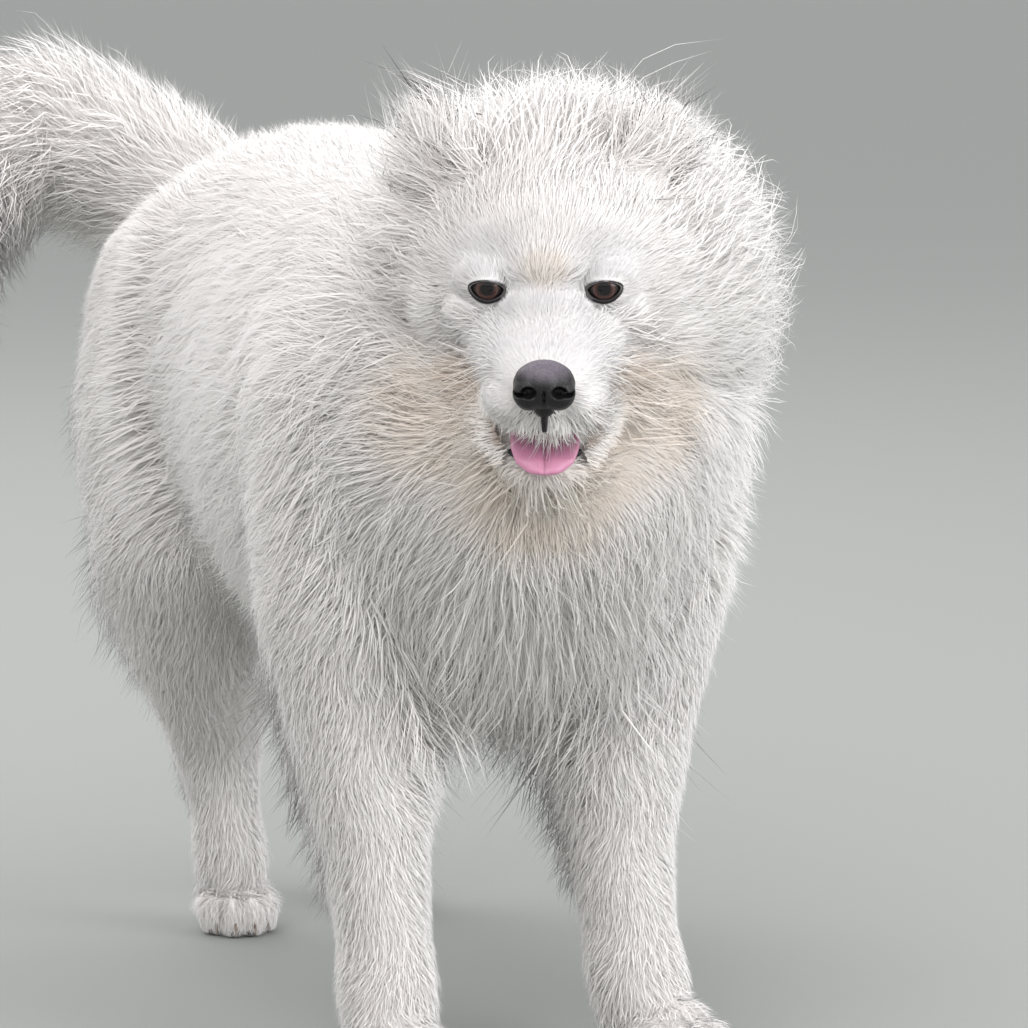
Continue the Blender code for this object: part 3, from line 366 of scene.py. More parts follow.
def evaluated_mesh(thing):
    bpy.context.view_layer.update()
    graph = bpy.context.evaluated_depsgraph_get()
    return bpy.data.meshes.new_from_object(thing.evaluated_get(graph))


def settle(thing):
    """Replaces the object's mesh by its evaluated one and drops the modifiers."""
    mesh = evaluated_mesh(thing)
    thing.modifiers.clear()
    thing.data = mesh
    return thing


def discard(*things):
    for thing in things:
        bpy.data.objects.remove(thing, do_unlink=True)


def melted(thing, voxel, rounds):
    """Makes one closed smooth skin of whatever the object holds."""
    remesh = thing.modifiers.new("Fuse", "REMESH")
    remesh.mode = "VOXEL"
    remesh.voxel_size = voxel
    soften = thing.modifiers.new("Soften", "SMOOTH")
    soften.factor = 0.5
    soften.iterations = rounds
    return settle(thing)


def fused(name, bm, voxel, rounds):
    """Fuses the pieces of a bmesh into one closed smooth skin."""
    return melted(object_from(name, bm), voxel, rounds)


def combine(thing, other, operation):
    """A Boolean of two objects, applied. The second one is removed."""
    change = thing.modifiers.new("Combine", "BOOLEAN")
    change.operation = operation
    change.solver = "MANIFOLD"
    change.object = other
    settle(thing)
    discard(other)
    return thing


def tube(name, points, radii, closed=False, sides=2):
    """A round tube through the points, as a mesh."""
    curve = bpy.data.curves.new(name, "CURVE")
    curve.dimensions = "3D"
    curve.bevel_depth = 1.0
    curve.bevel_resolution = sides
    curve.use_fill_caps = not closed
    spline = curve.splines.new("POLY")
    spline.points.add(len(points) - 1)
    spline.use_cyclic_u = closed
    for knot, point, radius in zip(spline.points, points, radii):
        knot.co = (*point, 1.0)
        knot.radius = radius
    thing = linked(name, curve)
    mesh = evaluated_mesh(thing)
    discard(thing)
    mesh.shade_smooth()
    return linked(name, mesh)


def joined(name, things):
    """One object of several meshes."""
    bm = bmesh.new()
    for thing in things:
        bm.from_mesh(thing.data)
    discard(*things)
    whole = object_from(name, bm)
    whole.data.shade_smooth()
    return whole


def between(flesh, tips, share):
    """A size that lies that share of the way from the flesh to the coat's tips."""
    if isinstance(flesh, tuple):
        return tuple(a + (b - a) * share for a, b in zip(flesh, tips))
    return flesh + (tips - flesh) * share


def mixed(a, b, t):
    """Two rows of numbers, or of rows, blended at t."""
    if isinstance(a, tuple):
        return tuple(mixed(x, y, t) for x, y in zip(a, b))
    return a + (b - a) * t


def filled(stations, steps):
    """The stations with evenly spaced ones put between them."""
    rows = []
    for first, second in zip(stations, stations[1:]):
        rows += [mixed(first, second, i / steps) for i in range(steps)]
    return rows + [stations[-1]]


def add_ball(bm, centre, half, frame=Matrix.Identity(4), subdivisions=3):
    place = frame @ Matrix.Translation(Vector(centre)) @ Matrix.Diagonal((*half, 1.0))
    bmesh.ops.create_icosphere(bm, subdivisions=subdivisions, radius=1.0, matrix=place)


def mirrored(point, side):
    return Vector((point[0] * side, point[1], point[2]))


def slimmer(half, by):
    return tuple(h - by for h in half)


# The body's form


def add_trunk(bm, share):
    for y, flesh, tips in filled(TRUNK, TRUNK_STEPS):
        half_width, low, high = between(flesh, tips, share)
        add_ball(bm, (0.0, y, (low + high) / 2), (half_width, TRUNK_REACH, (high - low) / 2))


def add_ruff(bm, share):
    for centre, flesh, tips in filled(RUFF, HEAD_STEPS):
        half_width, half_height = between(flesh, tips, share)
        add_ball(bm, centre, (half_width, RUFF_REACH, half_height), HEAD_FRAME)


def add_neck(bm, share):
    start = HEAD_FRAME @ Vector(NECK_TOP)
    radius = between(*NECK_RADII, share)
    for i in range(NECK_STEPS + 1):
        place = start.lerp(Vector(NECK_FOOT), i / NECK_STEPS)
        add_ball(bm, place, (radius, NECK_REACH, radius))


def add_limbs(bm, share):
    for stations in (*FORELEGS, *HINDLEGS, TAIL):
        for place, flesh, tips in filled(stations, LIMB_STEPS):
            low_leg = place[2] < LOW_LEG_BELOW and share < 1.0
            radius = between(flesh, tips, LOW_LEG_SHARE if low_leg else share)
            add_ball(bm, place, (radius, radius, radius), subdivisions=2)


def paw_frame(name):
    (x, y), _, _, turn = PAWS[name]
    return Matrix.Translation((x, y, SOLE - PAW_SINK)) @ Matrix.Rotation(math.radians(turn), 4, "Z")


def add_paws(bm, coat):
    for name, (_, half_width, half_length, _) in PAWS.items():
        place = paw_frame(name)
        sizes = (half_width, half_length, PAW_HEIGHT)
        middle = tuple(size * share for size, share in zip(sizes, PAW_MIDDLE))
        back, lift = PAW_MIDDLE_AT
        add_ball(bm, (0.0, half_length * back, PAW_HEIGHT * lift), slimmer(middle, coat), place)
        toe_size = tuple(size * share for size, share in zip(sizes, TOE_SIZE))
        for across, forward in TOES:
            toe = (half_width * across, -half_length * forward, PAW_HEIGHT * TOE_LIFT)
            add_ball(bm, toe, slimmer(toe_size, coat * TOE_COAT_SHARE), place)


def add_face(bm, bare):
    """The skull, muzzle and jaw, with the coat's depth taken off where bare is 1."""
    for centre, half, coat in SKULL_BALLS:
        add_ball(bm, centre, slimmer(half, coat * bare), HEAD_FRAME)
    for y, half_width, low, high in filled(MUZZLE_RINGS, HEAD_STEPS):
        half = slimmer((half_width, MUZZLE_REACH, (high - low) / 2), MUZZLE_COAT * bare)
        add_ball(bm, (0.0, y, (low + high) / 2), half, HEAD_FRAME)
    add_ball(bm, LIP_MIDDLE[0], slimmer(LIP_MIDDLE[1], LIP_COAT * bare), HEAD_FRAME)
    for side in (-1, 1):
        add_ball(bm, mirrored(FLEW[0], side), slimmer(FLEW[1], MUZZLE_COAT * bare), HEAD_FRAME)
        lid = (EYE_RADIUS + LID_THICKNESS,) * 3
        add_ball(bm, (side * EYE_SPREAD, EYE_DEPTH, 0.0), lid, HEAD_FRAME)
    for y, half_width, low, high in filled(JAW_RINGS, HEAD_STEPS):
        half = slimmer((half_width, JAW_REACH, (high - low) / 2), JAW_COAT * bare)
        add_ball(bm, (0.0, y, (low + high) / 2), half, HEAD_FRAME)


def ear_frame(side):
    """The ear's own frame: up along the ear, its cup facing forward and a little out."""
    foot = mirrored(EAR_FOOT, side)
    up = (mirrored(EAR_TIP, side) - foot).normalized()
    front = Vector((side * 0.42, -1.0, 0.10))
    front = (front - up * front.dot(up)).normalized()
    right = up.cross(front).normalized()
    turn = Matrix((-right, -front, up)).transposed().to_4x4()
    return HEAD_FRAME @ Matrix.Translation(foot) @ turn


def add_ears(bm, coat):
    for side in (-1, 1):
        for height, half_width, half_thick in filled(EAR_STATIONS, EAR_STEPS):
            half = slimmer((half_width, half_thick, EAR_REACH), coat)
            add_ball(bm, (0, 0, height), half, ear_frame(side), subdivisions=2)


def prism(name, outline, move):
    """The space that an outline sweeps through when it is moved."""
    bm = bmesh.new()
    face = bm.faces.new([bm.verts.new(point) for point in outline])
    swept = bmesh.ops.extrude_face_region(bm, geom=[face])["geom"]
    bmesh.ops.translate(bm, vec=move, verts=[v for v in swept if isinstance(v, bmesh.types.BMVert)])
    return object_from(name, bm)


def mouth_space():
    outline = [HEAD_FRAME @ Vector((-MOUTH_HALF_WIDTH, y, z)) for y, z in MOUTH]
    return prism("mouth_space", outline, HEAD_FRAME.to_3x3() @ Vector((2 * MOUTH_HALF_WIDTH, 0, 0)))


LID_HALF_LENGTH = 0.0098
LID_UPPER = 0.0056
LID_LOWER = 0.0064
LID_TURNS = 40
LID_POINTED = 0.20
EYE_OPENING_DEPTH = 0.040
MOST_OF_EYE = 0.97


def almond(side, scale=1.0):
    """Places round the opening between the lids, on the eyeball, in the head's frame."""
    ring = []
    for i in range(LID_TURNS):
        angle = math.tau * i / LID_TURNS
        x = LID_HALF_LENGTH * math.cos(angle) * scale
        height = LID_UPPER if math.sin(angle) > 0 else LID_LOWER
        z = height * math.sin(angle) * (1.0 - LID_POINTED * math.cos(angle) ** 2) * scale
        slanted = Matrix.Rotation(-side * EYE_SLANT, 3, "Y") @ Vector((side * x, 0, z))
        hug = math.sqrt(EYE_RADIUS**2 - min(slanted.length, EYE_RADIUS * MOST_OF_EYE) ** 2)
        ring.append(Vector((side * EYE_SPREAD, EYE_DEPTH - hug, 0)) + slanted)
    return ring


def eye_space(side):
    outline = [HEAD_FRAME @ Vector((p.x, EYE_DEPTH, p.z)) for p in almond(side)]
    return prism("eye_space", outline, HEAD_FRAME.to_3x3() @ Vector((0, -EYE_OPENING_DEPTH, 0)))


def ear_cup(side):
    bm = bmesh.new()
    add_ball(bm, *EAR_CUP, ear_frame(side))
    return object_from("cup_space", bm)


def cut_flat(thing, height):
    """Cuts the thing off level at a height and closes it."""
    bm = bmesh.new()
    bm.from_mesh(thing.data)
    bmesh.ops.bisect_plane(
        bm,
        geom=bm.verts[:] + bm.edges[:] + bm.faces[:],
        plane_co=(0, 0, height),
        plane_no=(0, 0, -1),
        clear_outer=True,
    )
    bmesh.ops.holes_fill(bm, edges=[edge for edge in bm.edges if edge.is_boundary])
    bm.to_mesh(thing.data)
    bm.free()


def make_skin():
    """One closed skin from the face to the paws, inside the coat."""
    body = bmesh.new()
    add_trunk(body, SKIN_SHARE)
    add_ruff(body, SKIN_SHARE)
    add_neck(body, SKIN_SHARE)
    add_limbs(body, SKIN_SHARE)
    skin = fused("skin", body, BODY_VOXEL, 6)
    head = bmesh.new()
    add_face(head, 1.0)
    add_ruff(head, SKIN_SHARE)
    add_ears(head, EAR_COAT)
    face = fused("face", head, HEAD_VOXEL, 3)
    combine(face, mouth_space(), "DIFFERENCE")
    for side in (-1, 1):
        combine(face, ear_cup(side), "DIFFERENCE")
        combine(face, eye_space(side), "DIFFERENCE")
    combine(skin, face, "UNION")
    feet = bmesh.new()
    add_paws(feet, PAW_COAT)
    combine(skin, fused("feet", feet, HEAD_VOXEL, 3), "UNION")
    cut_flat(skin, SOLE + SKIN_ABOVE_SOLE)
    skin.data.shade_smooth()
    return skin


def tree_of(thing):
    places = [v.co for v in thing.data.vertices]
    return BVHTree.FromPolygons(places, [p.vertices for p in thing.data.polygons])


def tips_tree():
    """The coat's outer surface, to measure the coat's depth against."""
    bm = bmesh.new()
    add_trunk(bm, 1.0)
    add_ruff(bm, 1.0)
    add_neck(bm, 1.0)
    add_limbs(bm, 1.0)
    add_paws(bm, 0.0)
    add_face(bm, 0.0)
    add_ears(bm, 0.0)
    add_ball(bm, *CROWN_BALL, HEAD_FRAME)
    thing = fused("tips", bm, TIPS_VOXEL, 3)
    tree = tree_of(thing)
    discard(thing)
    return tree


def unwrap(thing):
    """An unwrap of the object's own shape, named for the bake."""
    bpy.context.view_layer.objects.active = thing
    thing.select_set(True)
    thing.data.uv_layers.new(name="OFBake")
    bpy.ops.object.mode_set(mode="EDIT")
    bpy.ops.mesh.select_all(action="SELECT")
    bpy.ops.uv.smart_project(angle_limit=math.radians(66), island_margin=0.004)
    bpy.ops.object.mode_set(mode="OBJECT")
    thing.select_set(False)


# The lie of the coat

HEAD_TURNED = np.array(HEAD_FRAME.to_3x3())
HEAD_ORIGIN = np.array(HEAD_FRAME.translation)
NOSE_ROOT = np.array((0.0, -0.090, -0.036))


def in_head(places):
    return (places - HEAD_ORIGIN) @ HEAD_TURNED


def from_head(directions):
    return directions @ HEAD_TURNED.T


def ramp(values, start, end):
    """0 before the start, 1 after the end and smooth between them."""
    t = np.clip((values - start) / (end - start), 0.0, 1.0)
    return t * t * (3 - 2 * t)


def unit(rows):
    return rows / np.maximum(np.linalg.norm(rows, axis=-1, keepdims=True), 1e-9)


def axis_of(stations):
    """Places, radii and ways along a limb's or the tail's axis, as arrays."""
    rows = filled(stations, 6)
    places = np.array([row[0] for row in rows])
    radii = np.array([row[1] for row in rows])
    return places, radii, unit(np.gradient(places, axis=0))


def nearest_on(axis, places):
    """How far each place is from the flesh round the axis, and the nearest station."""
    apart = np.linalg.norm(places[:, None, :] - axis[0][None, :, :], axis=2)
    index = apart.argmin(axis=1)
    return apart[np.arange(len(places)), index] - axis[1][index], index


TAIL_AXIS = axis_of(TAIL)
LEG_AXES = [axis_of(stations) for stations in (*FORELEGS, *HINDLEGS)]


# The ruff's lie: how far above the head's origin it spreads from, where it starts down the head,
# and how much it turns back: at first, then by so much between two places
RUFF_LIFT = 0.020
RUFF_STARTS = (0.020, 0.075)
RUFF_BACK = 0.15
RUFF_TURNS = ((0.30, 0.050, 0.120), (0.45, 0.100, 0.160))


def lie_on_head(places):
    """Back and outwards from the nose, then radially round the ruff."""
    head = in_head(places)
    from_nose = unit(head - NOSE_ROOT)
    radial = unit(head * np.array((1.0, 0.0, 1.0)) + np.array((0.0, 0.0, RUFF_LIFT)))
    back = RUFF_BACK + sum(turn * ramp(head[:, 1], start, end) for turn, start, end in RUFF_TURNS)
    back = back[:, None]
    outward = unit(radial * (1 - back) + np.array((0.0, 1.0, 0.0)) * back)
    ruff = ramp(head[:, 1], *RUFF_STARTS)[:, None]
    return unit(from_head(from_nose * (1 - ruff) + outward * ruff))


# The trunk's ends: how far a face turns to the end, and where along the trunk that counts
FRONT_END = ((0.15, 0.75), (0.10, 0.22))
REAR_END = ((0.25, 0.80), (0.12, 0.22))
END_SPREAD = (0.35, 1.2)
FRONT_BACK = 0.18
SIDE_DROP = 0.85


def lie_on_trunk(places, normals):
    """Back along the sides, and down at the breast, rump and flanks."""
    front = ramp(-normals[:, 1], *FRONT_END[0]) * ramp(-places[:, 1], *FRONT_END[1])
    rear = ramp(normals[:, 1], *REAR_END[0]) * ramp(places[:, 1], *REAR_END[1])
    side = np.abs(normals[:, 0])
    ends = np.clip(front + rear, 0, 1)
    by_face, by_place = END_SPREAD
    lie = np.zeros_like(places)
    lie[:, 0] = normals[:, 0] * by_face * ends + places[:, 0] * by_place * ends
    lie[:, 1] = (1 - ends) + FRONT_BACK * front
    lie[:, 2] = -(SIDE_DROP * side * (1 - ends) + ends)
    return unit(lie)


# Where each region of the coat fades in, in metres: round the head's middle and behind it, from
# the tail's flesh and along the body, from a leg's flesh and below the belly, and above the floor
HEAD_MIDDLE = np.array((0.006, 0.070, -0.025))
HEAD_STRETCH = np.array((1.0, 0.9, 1.0))
HEAD_FADES = ((-0.165, -0.120), (-0.190, -0.130))
TAIL_FADES = ((-0.050, -0.030), (0.265, 0.300))
LEG_GAP_FADE = (-0.035, -0.015)
LEG_TOP_FADE = (-0.300, -0.235)
PAW_FADE = (-0.060, -0.020)
LEG_BACK = np.array((0.0, 0.30, 0.0))
TAIL_SPREAD = 0.45
PAW_LIE = np.array((0.0, -0.35, -0.90))


def lie_of(places, normals):
    """The way the coat lies at each place, and how much each region has of it."""
    head = in_head(places)
    reach = np.linalg.norm((head - HEAD_MIDDLE) * HEAD_STRETCH, axis=1)
    on_head = ramp(-reach, *HEAD_FADES[0]) * ramp(-head[:, 1], *HEAD_FADES[1])
    tail_gap, tail_index = nearest_on(TAIL_AXIS, places)
    on_tail = ramp(-tail_gap, *TAIL_FADES[0]) * ramp(places[:, 1], *TAIL_FADES[1])
    lie = lie_on_trunk(places, normals)
    lie += (lie_on_head(places) - lie) * on_head[:, None]
    on_leg = np.zeros(len(places))
    for axis in LEG_AXES:
        gap, index = nearest_on(axis, places)
        weight = ramp(-gap, *LEG_GAP_FADE) * ramp(-places[:, 2], *LEG_TOP_FADE)
        way = axis[2][index] + LEG_BACK
        lie += (unit(way) - lie) * weight[:, None]
        on_leg = np.maximum(on_leg, weight)
    along = TAIL_AXIS[2][tail_index]
    radial = unit(places - TAIL_AXIS[0][tail_index])
    lie += (unit(along + radial * TAIL_SPREAD) - lie) * on_tail[:, None]
    on_paw = ramp(-places[:, 2], *PAW_FADE)
    lie += (PAW_LIE - lie) * on_paw[:, None]
    return unit(lie), {"head": on_head, "tail": on_tail, "leg": on_leg, "paw": on_paw}


SLOW_SWIRL = 0.16
QUICK_SWIRL = 0.20


def swirl(places):
    """A slow wave over the coat that turns its lie a little to either side."""
    x, y, z = places.T
    slow = np.sin(38 * x + 21 * z + 1.3) + np.sin(31 * y - 27 * z + 0.4)
    quick = np.sin(97 * x - 61 * y + 2.0) * np.sin(83 * z + 53 * x) + np.sin(113 * y + 71 * z)
    return SLOW_SWIRL * slow + QUICK_SWIRL * quick


# Growing the coat

Skin = namedtuple("Skin", "places normals corners unwrap depth tree")


def smoothed(values, corners, rounds):
    """Evens out a value over the skin's vertices."""
    for _ in range(rounds):
        total = np.zeros(len(values))
        share = np.zeros(len(values))
        middle = values[corners].mean(axis=1)
        for k in range(3):
            np.add.at(total, corners[:, k], middle)
            np.add.at(share, corners[:, k], 1.0)
        values = total / np.maximum(share, 1.0)
    return values


# Coat beyond the form's own, in metres, and where it fades in
CHIN_AT = (np.array((0.0, -0.030, -0.104)), np.array((0.044, 0.040, 0.024)))
CHIN_EXTRA = 0.0075
BEHIND_FADE = (0.05, 0.75)
INWARD_FADE = (0.10, 0.70)
UNDER_FADE = (0.10, 0.70)
ABOVE_LEGS_FADE = (-0.330, -0.260)
BEHIND_FORELEG = (0.021, (0.070, 0.150))
INSIDE_ELBOW = (0.012, (0.130, 0.200))
BEHIND_HOCK = (0.010, (0.055, 0.110))
BREAST_EXTRA = 0.022
BREAST_FADES = ((-0.080, -0.030), (0.120, 0.180))
THIGH_EXTRA = 0.004
THIGH_BEHIND_EXTRA = 0.013
THIGH_FADES = ((0.170, 0.250), (-0.470, -0.400), (0.14, 0.20))
FOOT_EXTRA = 0.0050
FOOT_FADES = ((-0.090, -0.060), (0.004, 0.020))
MUZZLE_EXTRA = 0.0060
MUZZLE_FADES = ((0.020, 0.032), (-0.060, -0.045), (-0.022, -0.002), (-0.056, -0.045), (0.004, 0.016))


def feathering(places, normals):
    """Coat beyond the form's own: at the chin, breast, elbows, thighs, feet and muzzle's sides."""
    x, y, z = places.T
    chin = (in_head(places) - CHIN_AT[0]) / CHIN_AT[1]
    extra = CHIN_EXTRA * ramp(-np.linalg.norm(chin, axis=1), -1.0, -0.5)
    behind = ramp(normals[:, 1], *BEHIND_FADE)
    inward = ramp(-normals[:, 0] * np.sign(x), *INWARD_FADE)
    below_body = ramp(-z, *ABOVE_LEGS_FADE)
    upper = ramp(z, *BEHIND_FORELEG[1]) * below_body
    elbow = ramp(z, *INSIDE_ELBOW[1]) * below_body
    hock = ramp(z, *BEHIND_HOCK[1]) * below_body
    for index, axis in enumerate(LEG_AXES):
        gap, _ = nearest_on(axis, places)
        on_leg = ramp(-gap, *LEG_GAP_FADE)
        if index < len(FORELEGS):
            extra += (BEHIND_FORELEG[0] * behind * upper + INSIDE_ELBOW[0] * inward * elbow) * on_leg
        else:
            extra += BEHIND_HOCK[0] * behind * hock * on_leg
    breast = ramp(-normals[:, 2], *UNDER_FADE) * ramp(-np.abs(x), *BREAST_FADES[0])
    extra += BREAST_EXTRA * breast * ramp(-y, *BREAST_FADES[1])
    thigh = ramp(z, *THIGH_FADES[0]) * ramp(-z, *THIGH_FADES[1]) * ramp(y, *THIGH_FADES[2])
    extra += (THIGH_EXTRA + THIGH_BEHIND_EXTRA * behind) * thigh
    extra += FOOT_EXTRA * ramp(-z, *FOOT_FADES[0]) * ramp(z, *FOOT_FADES[1])
    across, along, up = in_head(places).T
    muzzle = ramp(np.abs(across), *MUZZLE_FADES[0]) * ramp(along, *MUZZLE_FADES[1])
    muzzle *= ramp(-along, *MUZZLE_FADES[2]) * ramp(up, *MUZZLE_FADES[3]) * ramp(-up, *MUZZLE_FADES[4])
    return extra + MUZZLE_EXTRA * muzzle


def array_of(items, key, width, kind=float):
    """One of Blender's lists of numbers as a table with so many columns."""
    values = np.zeros(len(items) * width, kind)
    items.foreach_get(key, values)
    return values.reshape(-1, width)


# How the coat's depth is measured: how far off the skin a ray starts and how far it looks, and
# how often the depths are evened out. At the feet and eyes the coat has a most depth of its own
RAY_START = 0.0004
RAY_REACH = 0.12
DEPTH_ROUNDS = 6
FOOT_COAT = 0.0060
FOOT_COAT_FADE = (-0.095, -0.065)
EYE_COAT = 0.0040
EYE_COAT_FADE = (-2.8, -1.6)


def measured(thing, tips):
    """The skin's arrays, with the coat's depth at each vertex."""
    mesh = thing.data
    mesh.calc_loop_triangles()
    places = array_of(mesh.vertices, "co", 3)
    normals = array_of(mesh.vertices, "normal", 3)
    corners = array_of(mesh.loop_triangles, "vertices", 3, int)
    loops = array_of(mesh.loop_triangles, "loops", 3, int)
    flat = array_of(mesh.uv_layers["OFBake"].data, "uv", 2)
    depth = np.zeros(len(places))
    for i, (place, normal) in enumerate(zip(places, normals)):
        way = Vector(normal)
        hit = tips.ray_cast(Vector(place) + way * RAY_START, way, RAY_REACH)
        depth[i] = 0.0 if hit[3] is None else hit[3]
    depth = smoothed(np.clip(depth, LEAST_DEPTH, MOST_DEPTH), corners, DEPTH_ROUNDS)
    depth += (np.minimum(depth, FOOT_COAT) - depth) * ramp(-places[:, 2], *FOOT_COAT_FADE)
    depth += feathering(places, normals)
    at_eye = ramp(-from_eye(in_head(places)), *EYE_COAT_FADE)
    depth += (np.minimum(depth, EYE_COAT) - depth) * at_eye
    return Skin(places, normals, corners, flat[loops], depth, tree_of(thing))


# The mouth's lower edge, seen from the side, and how far the mouth reaches up, back and across
MOUTH_LOWER = ((-0.110, -0.044, 0.010), (-0.1085, -0.0835, -0.0620))


MOUTH_TOP = -0.0592
MOUTH_BACK = 0.012
MOUTH_ACROSS = 0.046


def in_mouth(head, margin=0.0):
    lower = np.interp(head[:, 1], *MOUTH_LOWER)
    within = (head[:, 1] < MOUTH_BACK) & (np.abs(head[:, 0]) < MOUTH_ACROSS)
    return within & (head[:, 2] < MOUTH_TOP + margin) & (head[:, 2] > lower - margin)


EYE_NEAR = 0.03


def from_eye(head):
    """How far a place is from the eye's middle, 1 at the lids' edge, and more off the face."""
    x = np.abs(head[:, 0]) - EYE_SPREAD
    z = head[:, 2]
    along = x * math.cos(EYE_SLANT) + z * math.sin(EYE_SLANT)
    up = z * math.cos(EYE_SLANT) - x * math.sin(EYE_SLANT)
    height = np.where(up > 0, LID_UPPER, LID_LOWER)
    off_face = np.abs(head[:, 1] - EYE_DEPTH) > EYE_NEAR
    return np.hypot(along / LID_HALF_LENGTH, up / height) + off_face * 9.0


# The bare parts: the nose's middle and half sizes, and the shares at which lids and cups end
NOSE_BARE = (np.array((0.0, -0.080, -0.0335)), np.array((0.0182, 0.020, 0.0158)))
LIDS_BARE = 1.16
CUP_BARE = 0.97


def is_bare(places):
    """Where no coat grows: in the mouth, on the eyes, under the nose and in the ear cups."""
    head = in_head(places)
    nose = (head - NOSE_BARE[0]) / NOSE_BARE[1]
    inside = np.zeros(len(places), bool)
    for side in (-1, 1):
        own = np.array(ear_frame(side).inverted())
        ear = places @ own[:3, :3].T + own[:3, 3]
        cup = (ear - np.array(EAR_CUP[0])) / np.array(EAR_CUP[1])
        inside |= np.linalg.norm(cup, axis=1) < CUP_BARE
    on_nose = np.linalg.norm(nose, axis=1) < 1.0
    return (from_eye(head) < LIDS_BARE) | on_nose | in_mouth(head) | inside


# A kind of hair: how many, points along it, how far it lies per depth, how high it rises,
# its half width at no length and per length, how far it strays, and how dense short ones are
Kind = namedtuple("Kind", "count points reach rise width widen stray crowd")
KINDS = {
    "locks": Kind(58_000, 3, (0.7, 1.3), (0.62, 1.02), 0.00024, 0.0062, 0.22, 0.80),
    "hairs": Kind(205_000, 2, (0.5, 1.3), (0.70, 1.12), 0.00020, 0.0038, 0.48, 0.85),
    "wisps": Kind(2_000, 6, (0.9, 1.6), (0.85, 1.20), 0.00013, 0.0012, 0.50, 0.10),
}
LEAST_LENGTH = 0.0052
LENGTH_PER_DEPTH = 1.2
# How far the fluff may stand above the solids, and how close to the floor tips and bends come
FLUFF_ABOVE = 0.020
HIGHEST = cad_high.z - SET_DOWN.z + FLUFF_ABOVE
TIP_LOWEST = SOLE + 0.0008
BEND_LOWEST = SOLE + 0.0012


def sampled(skin, kind, chance, favour):
    """Roots spread over the skin, as densely as the coat's width there asks."""
    middles = skin.places[skin.corners].mean(axis=1)
    first, second, third = (skin.places[skin.corners[:, k]] for k in range(3))
    areas = np.linalg.norm(np.cross(second - first, third - first), axis=1) / 2
    length = LEAST_LENGTH + skin.depth[skin.corners].mean(axis=1) * LENGTH_PER_DEPTH
    crowd = (length * (kind.width + kind.widen * length)) ** -kind.crowd
    weights = areas * crowd * favour(middles) * ~is_bare(middles)
    ladder = np.cumsum(weights)
    rungs = (np.arange(kind.count) + chance.random(kind.count)) * ladder[-1] / kind.count
    picks = np.minimum(np.searchsorted(ladder, rungs), len(areas) - 1)
    shares = chance.random((kind.count, 2))
    folded = shares.sum(axis=1) > 1
    shares[folded] = 1 - shares[folded]
    weight = np.column_stack((1 - shares.sum(axis=1), shares))
    chosen = skin.corners[picks]
    roots = np.einsum("nk,nkj->nj", weight, skin.places[chosen])
    ways = unit(np.einsum("nk,nkj->nj", weight, skin.normals[chosen]))
    maps = np.einsum("nk,nkj->nj", weight, skin.unwrap[picks])
    depth = np.einsum("nk,nk->n", weight, skin.depth[chosen])
    keep = ~is_bare(roots)
    return roots[keep], ways[keep], maps[keep], depth[keep]


# How a tuft grows: short coat strays less; under the body it stands out more and lies less;
# the tail's tufts keep to their own way; tips sink a little, and the bend stands near the root
SHORT_FADE = (-0.012, -0.004)
SHORT_STRAY_LOSS = 0.6
BELOW_FADE = (0.25, 0.85)
BELOW_RISE = 0.22
BELOW_SHORTER = 0.35
TAIL_FREEDOM = 0.85
TURN_WITH_SKIN = 0.8
TIP_SINK = 0.06
BEND_HEIGHT = 0.95
BEND_ALONG = 0.30


def grown(skin, kind, roots, normals, depth, chance):
    """The line of every tuft from root to tip, its length, the skin's way there and its region."""
    count = len(roots)
    lie, where = lie_of(roots, normals)
    lie = unit(lie - normals * np.sum(lie * normals, axis=1, keepdims=True))
    across = np.cross(normals, lie)
    steady = 1 - SHORT_STRAY_LOSS * ramp(-depth, *SHORT_FADE)
    angle = swirl(roots) * steady + chance.normal(0.0, kind.stray, count) * steady
    lie = lie * np.cos(angle)[:, None] + across * np.sin(angle)[:, None]
    length = LEAST_LENGTH + depth * chance.uniform(*kind.reach, count)
    height = depth * chance.uniform(*kind.rise, count)
    below = ramp(-normals[:, 2], *BELOW_FADE) * (1 - where["paw"]) * (1 - where["head"])
    height *= 1 + BELOW_RISE * below
    length *= 1 - BELOW_SHORTER * below
    ends = roots + lie * length[:, None]
    surface = np.empty_like(ends)
    beyond = np.empty_like(ends)
    for i, end in enumerate(ends):
        surface[i], beyond[i], _, _ = skin.tree.find_nearest(end)
    cling = (1.0 - TAIL_FREEDOM * where["tail"])[:, None]
    surface = ends + (surface - ends) * cling
    up = unit(normals + (beyond - normals) * cling * TURN_WITH_SKIN)
    tips = surface + up * height[:, None]
    tips[:, 2] -= TIP_SINK * length * (1 - where["paw"])
    tips[:, 2] = np.clip(tips[:, 2], TIP_LOWEST, HIGHEST)
    bend = roots + normals * (height * BEND_HEIGHT)[:, None] + lie * (length * BEND_ALONG)[:, None]
    bend[:, 2] = np.maximum(bend[:, 2], BEND_LOWEST)
    steps = np.linspace(0.0, 1.0, kind.points)[None, :, None]
    line = (
        roots[:, None] * (1 - steps) ** 2
        + bend[:, None] * 2 * steps * (1 - steps)
        + tips[:, None] * steps**2
    )
    return line, length + height, up, where


EYE_CLEAR = 0.92
CROSSING_STEPS = (0.33, 0.67, 1.0)


def crosses_eye(line):
    """Which tufts would pass over an eyeball."""
    crossing = np.zeros(len(line), bool)
    for start, end in zip(line.swapaxes(0, 1), line.swapaxes(0, 1)[1:]):
        for step in CROSSING_STEPS:
            crossing |= from_eye(in_head(start + (end - start) * step)) < EYE_CLEAR
    return crossing


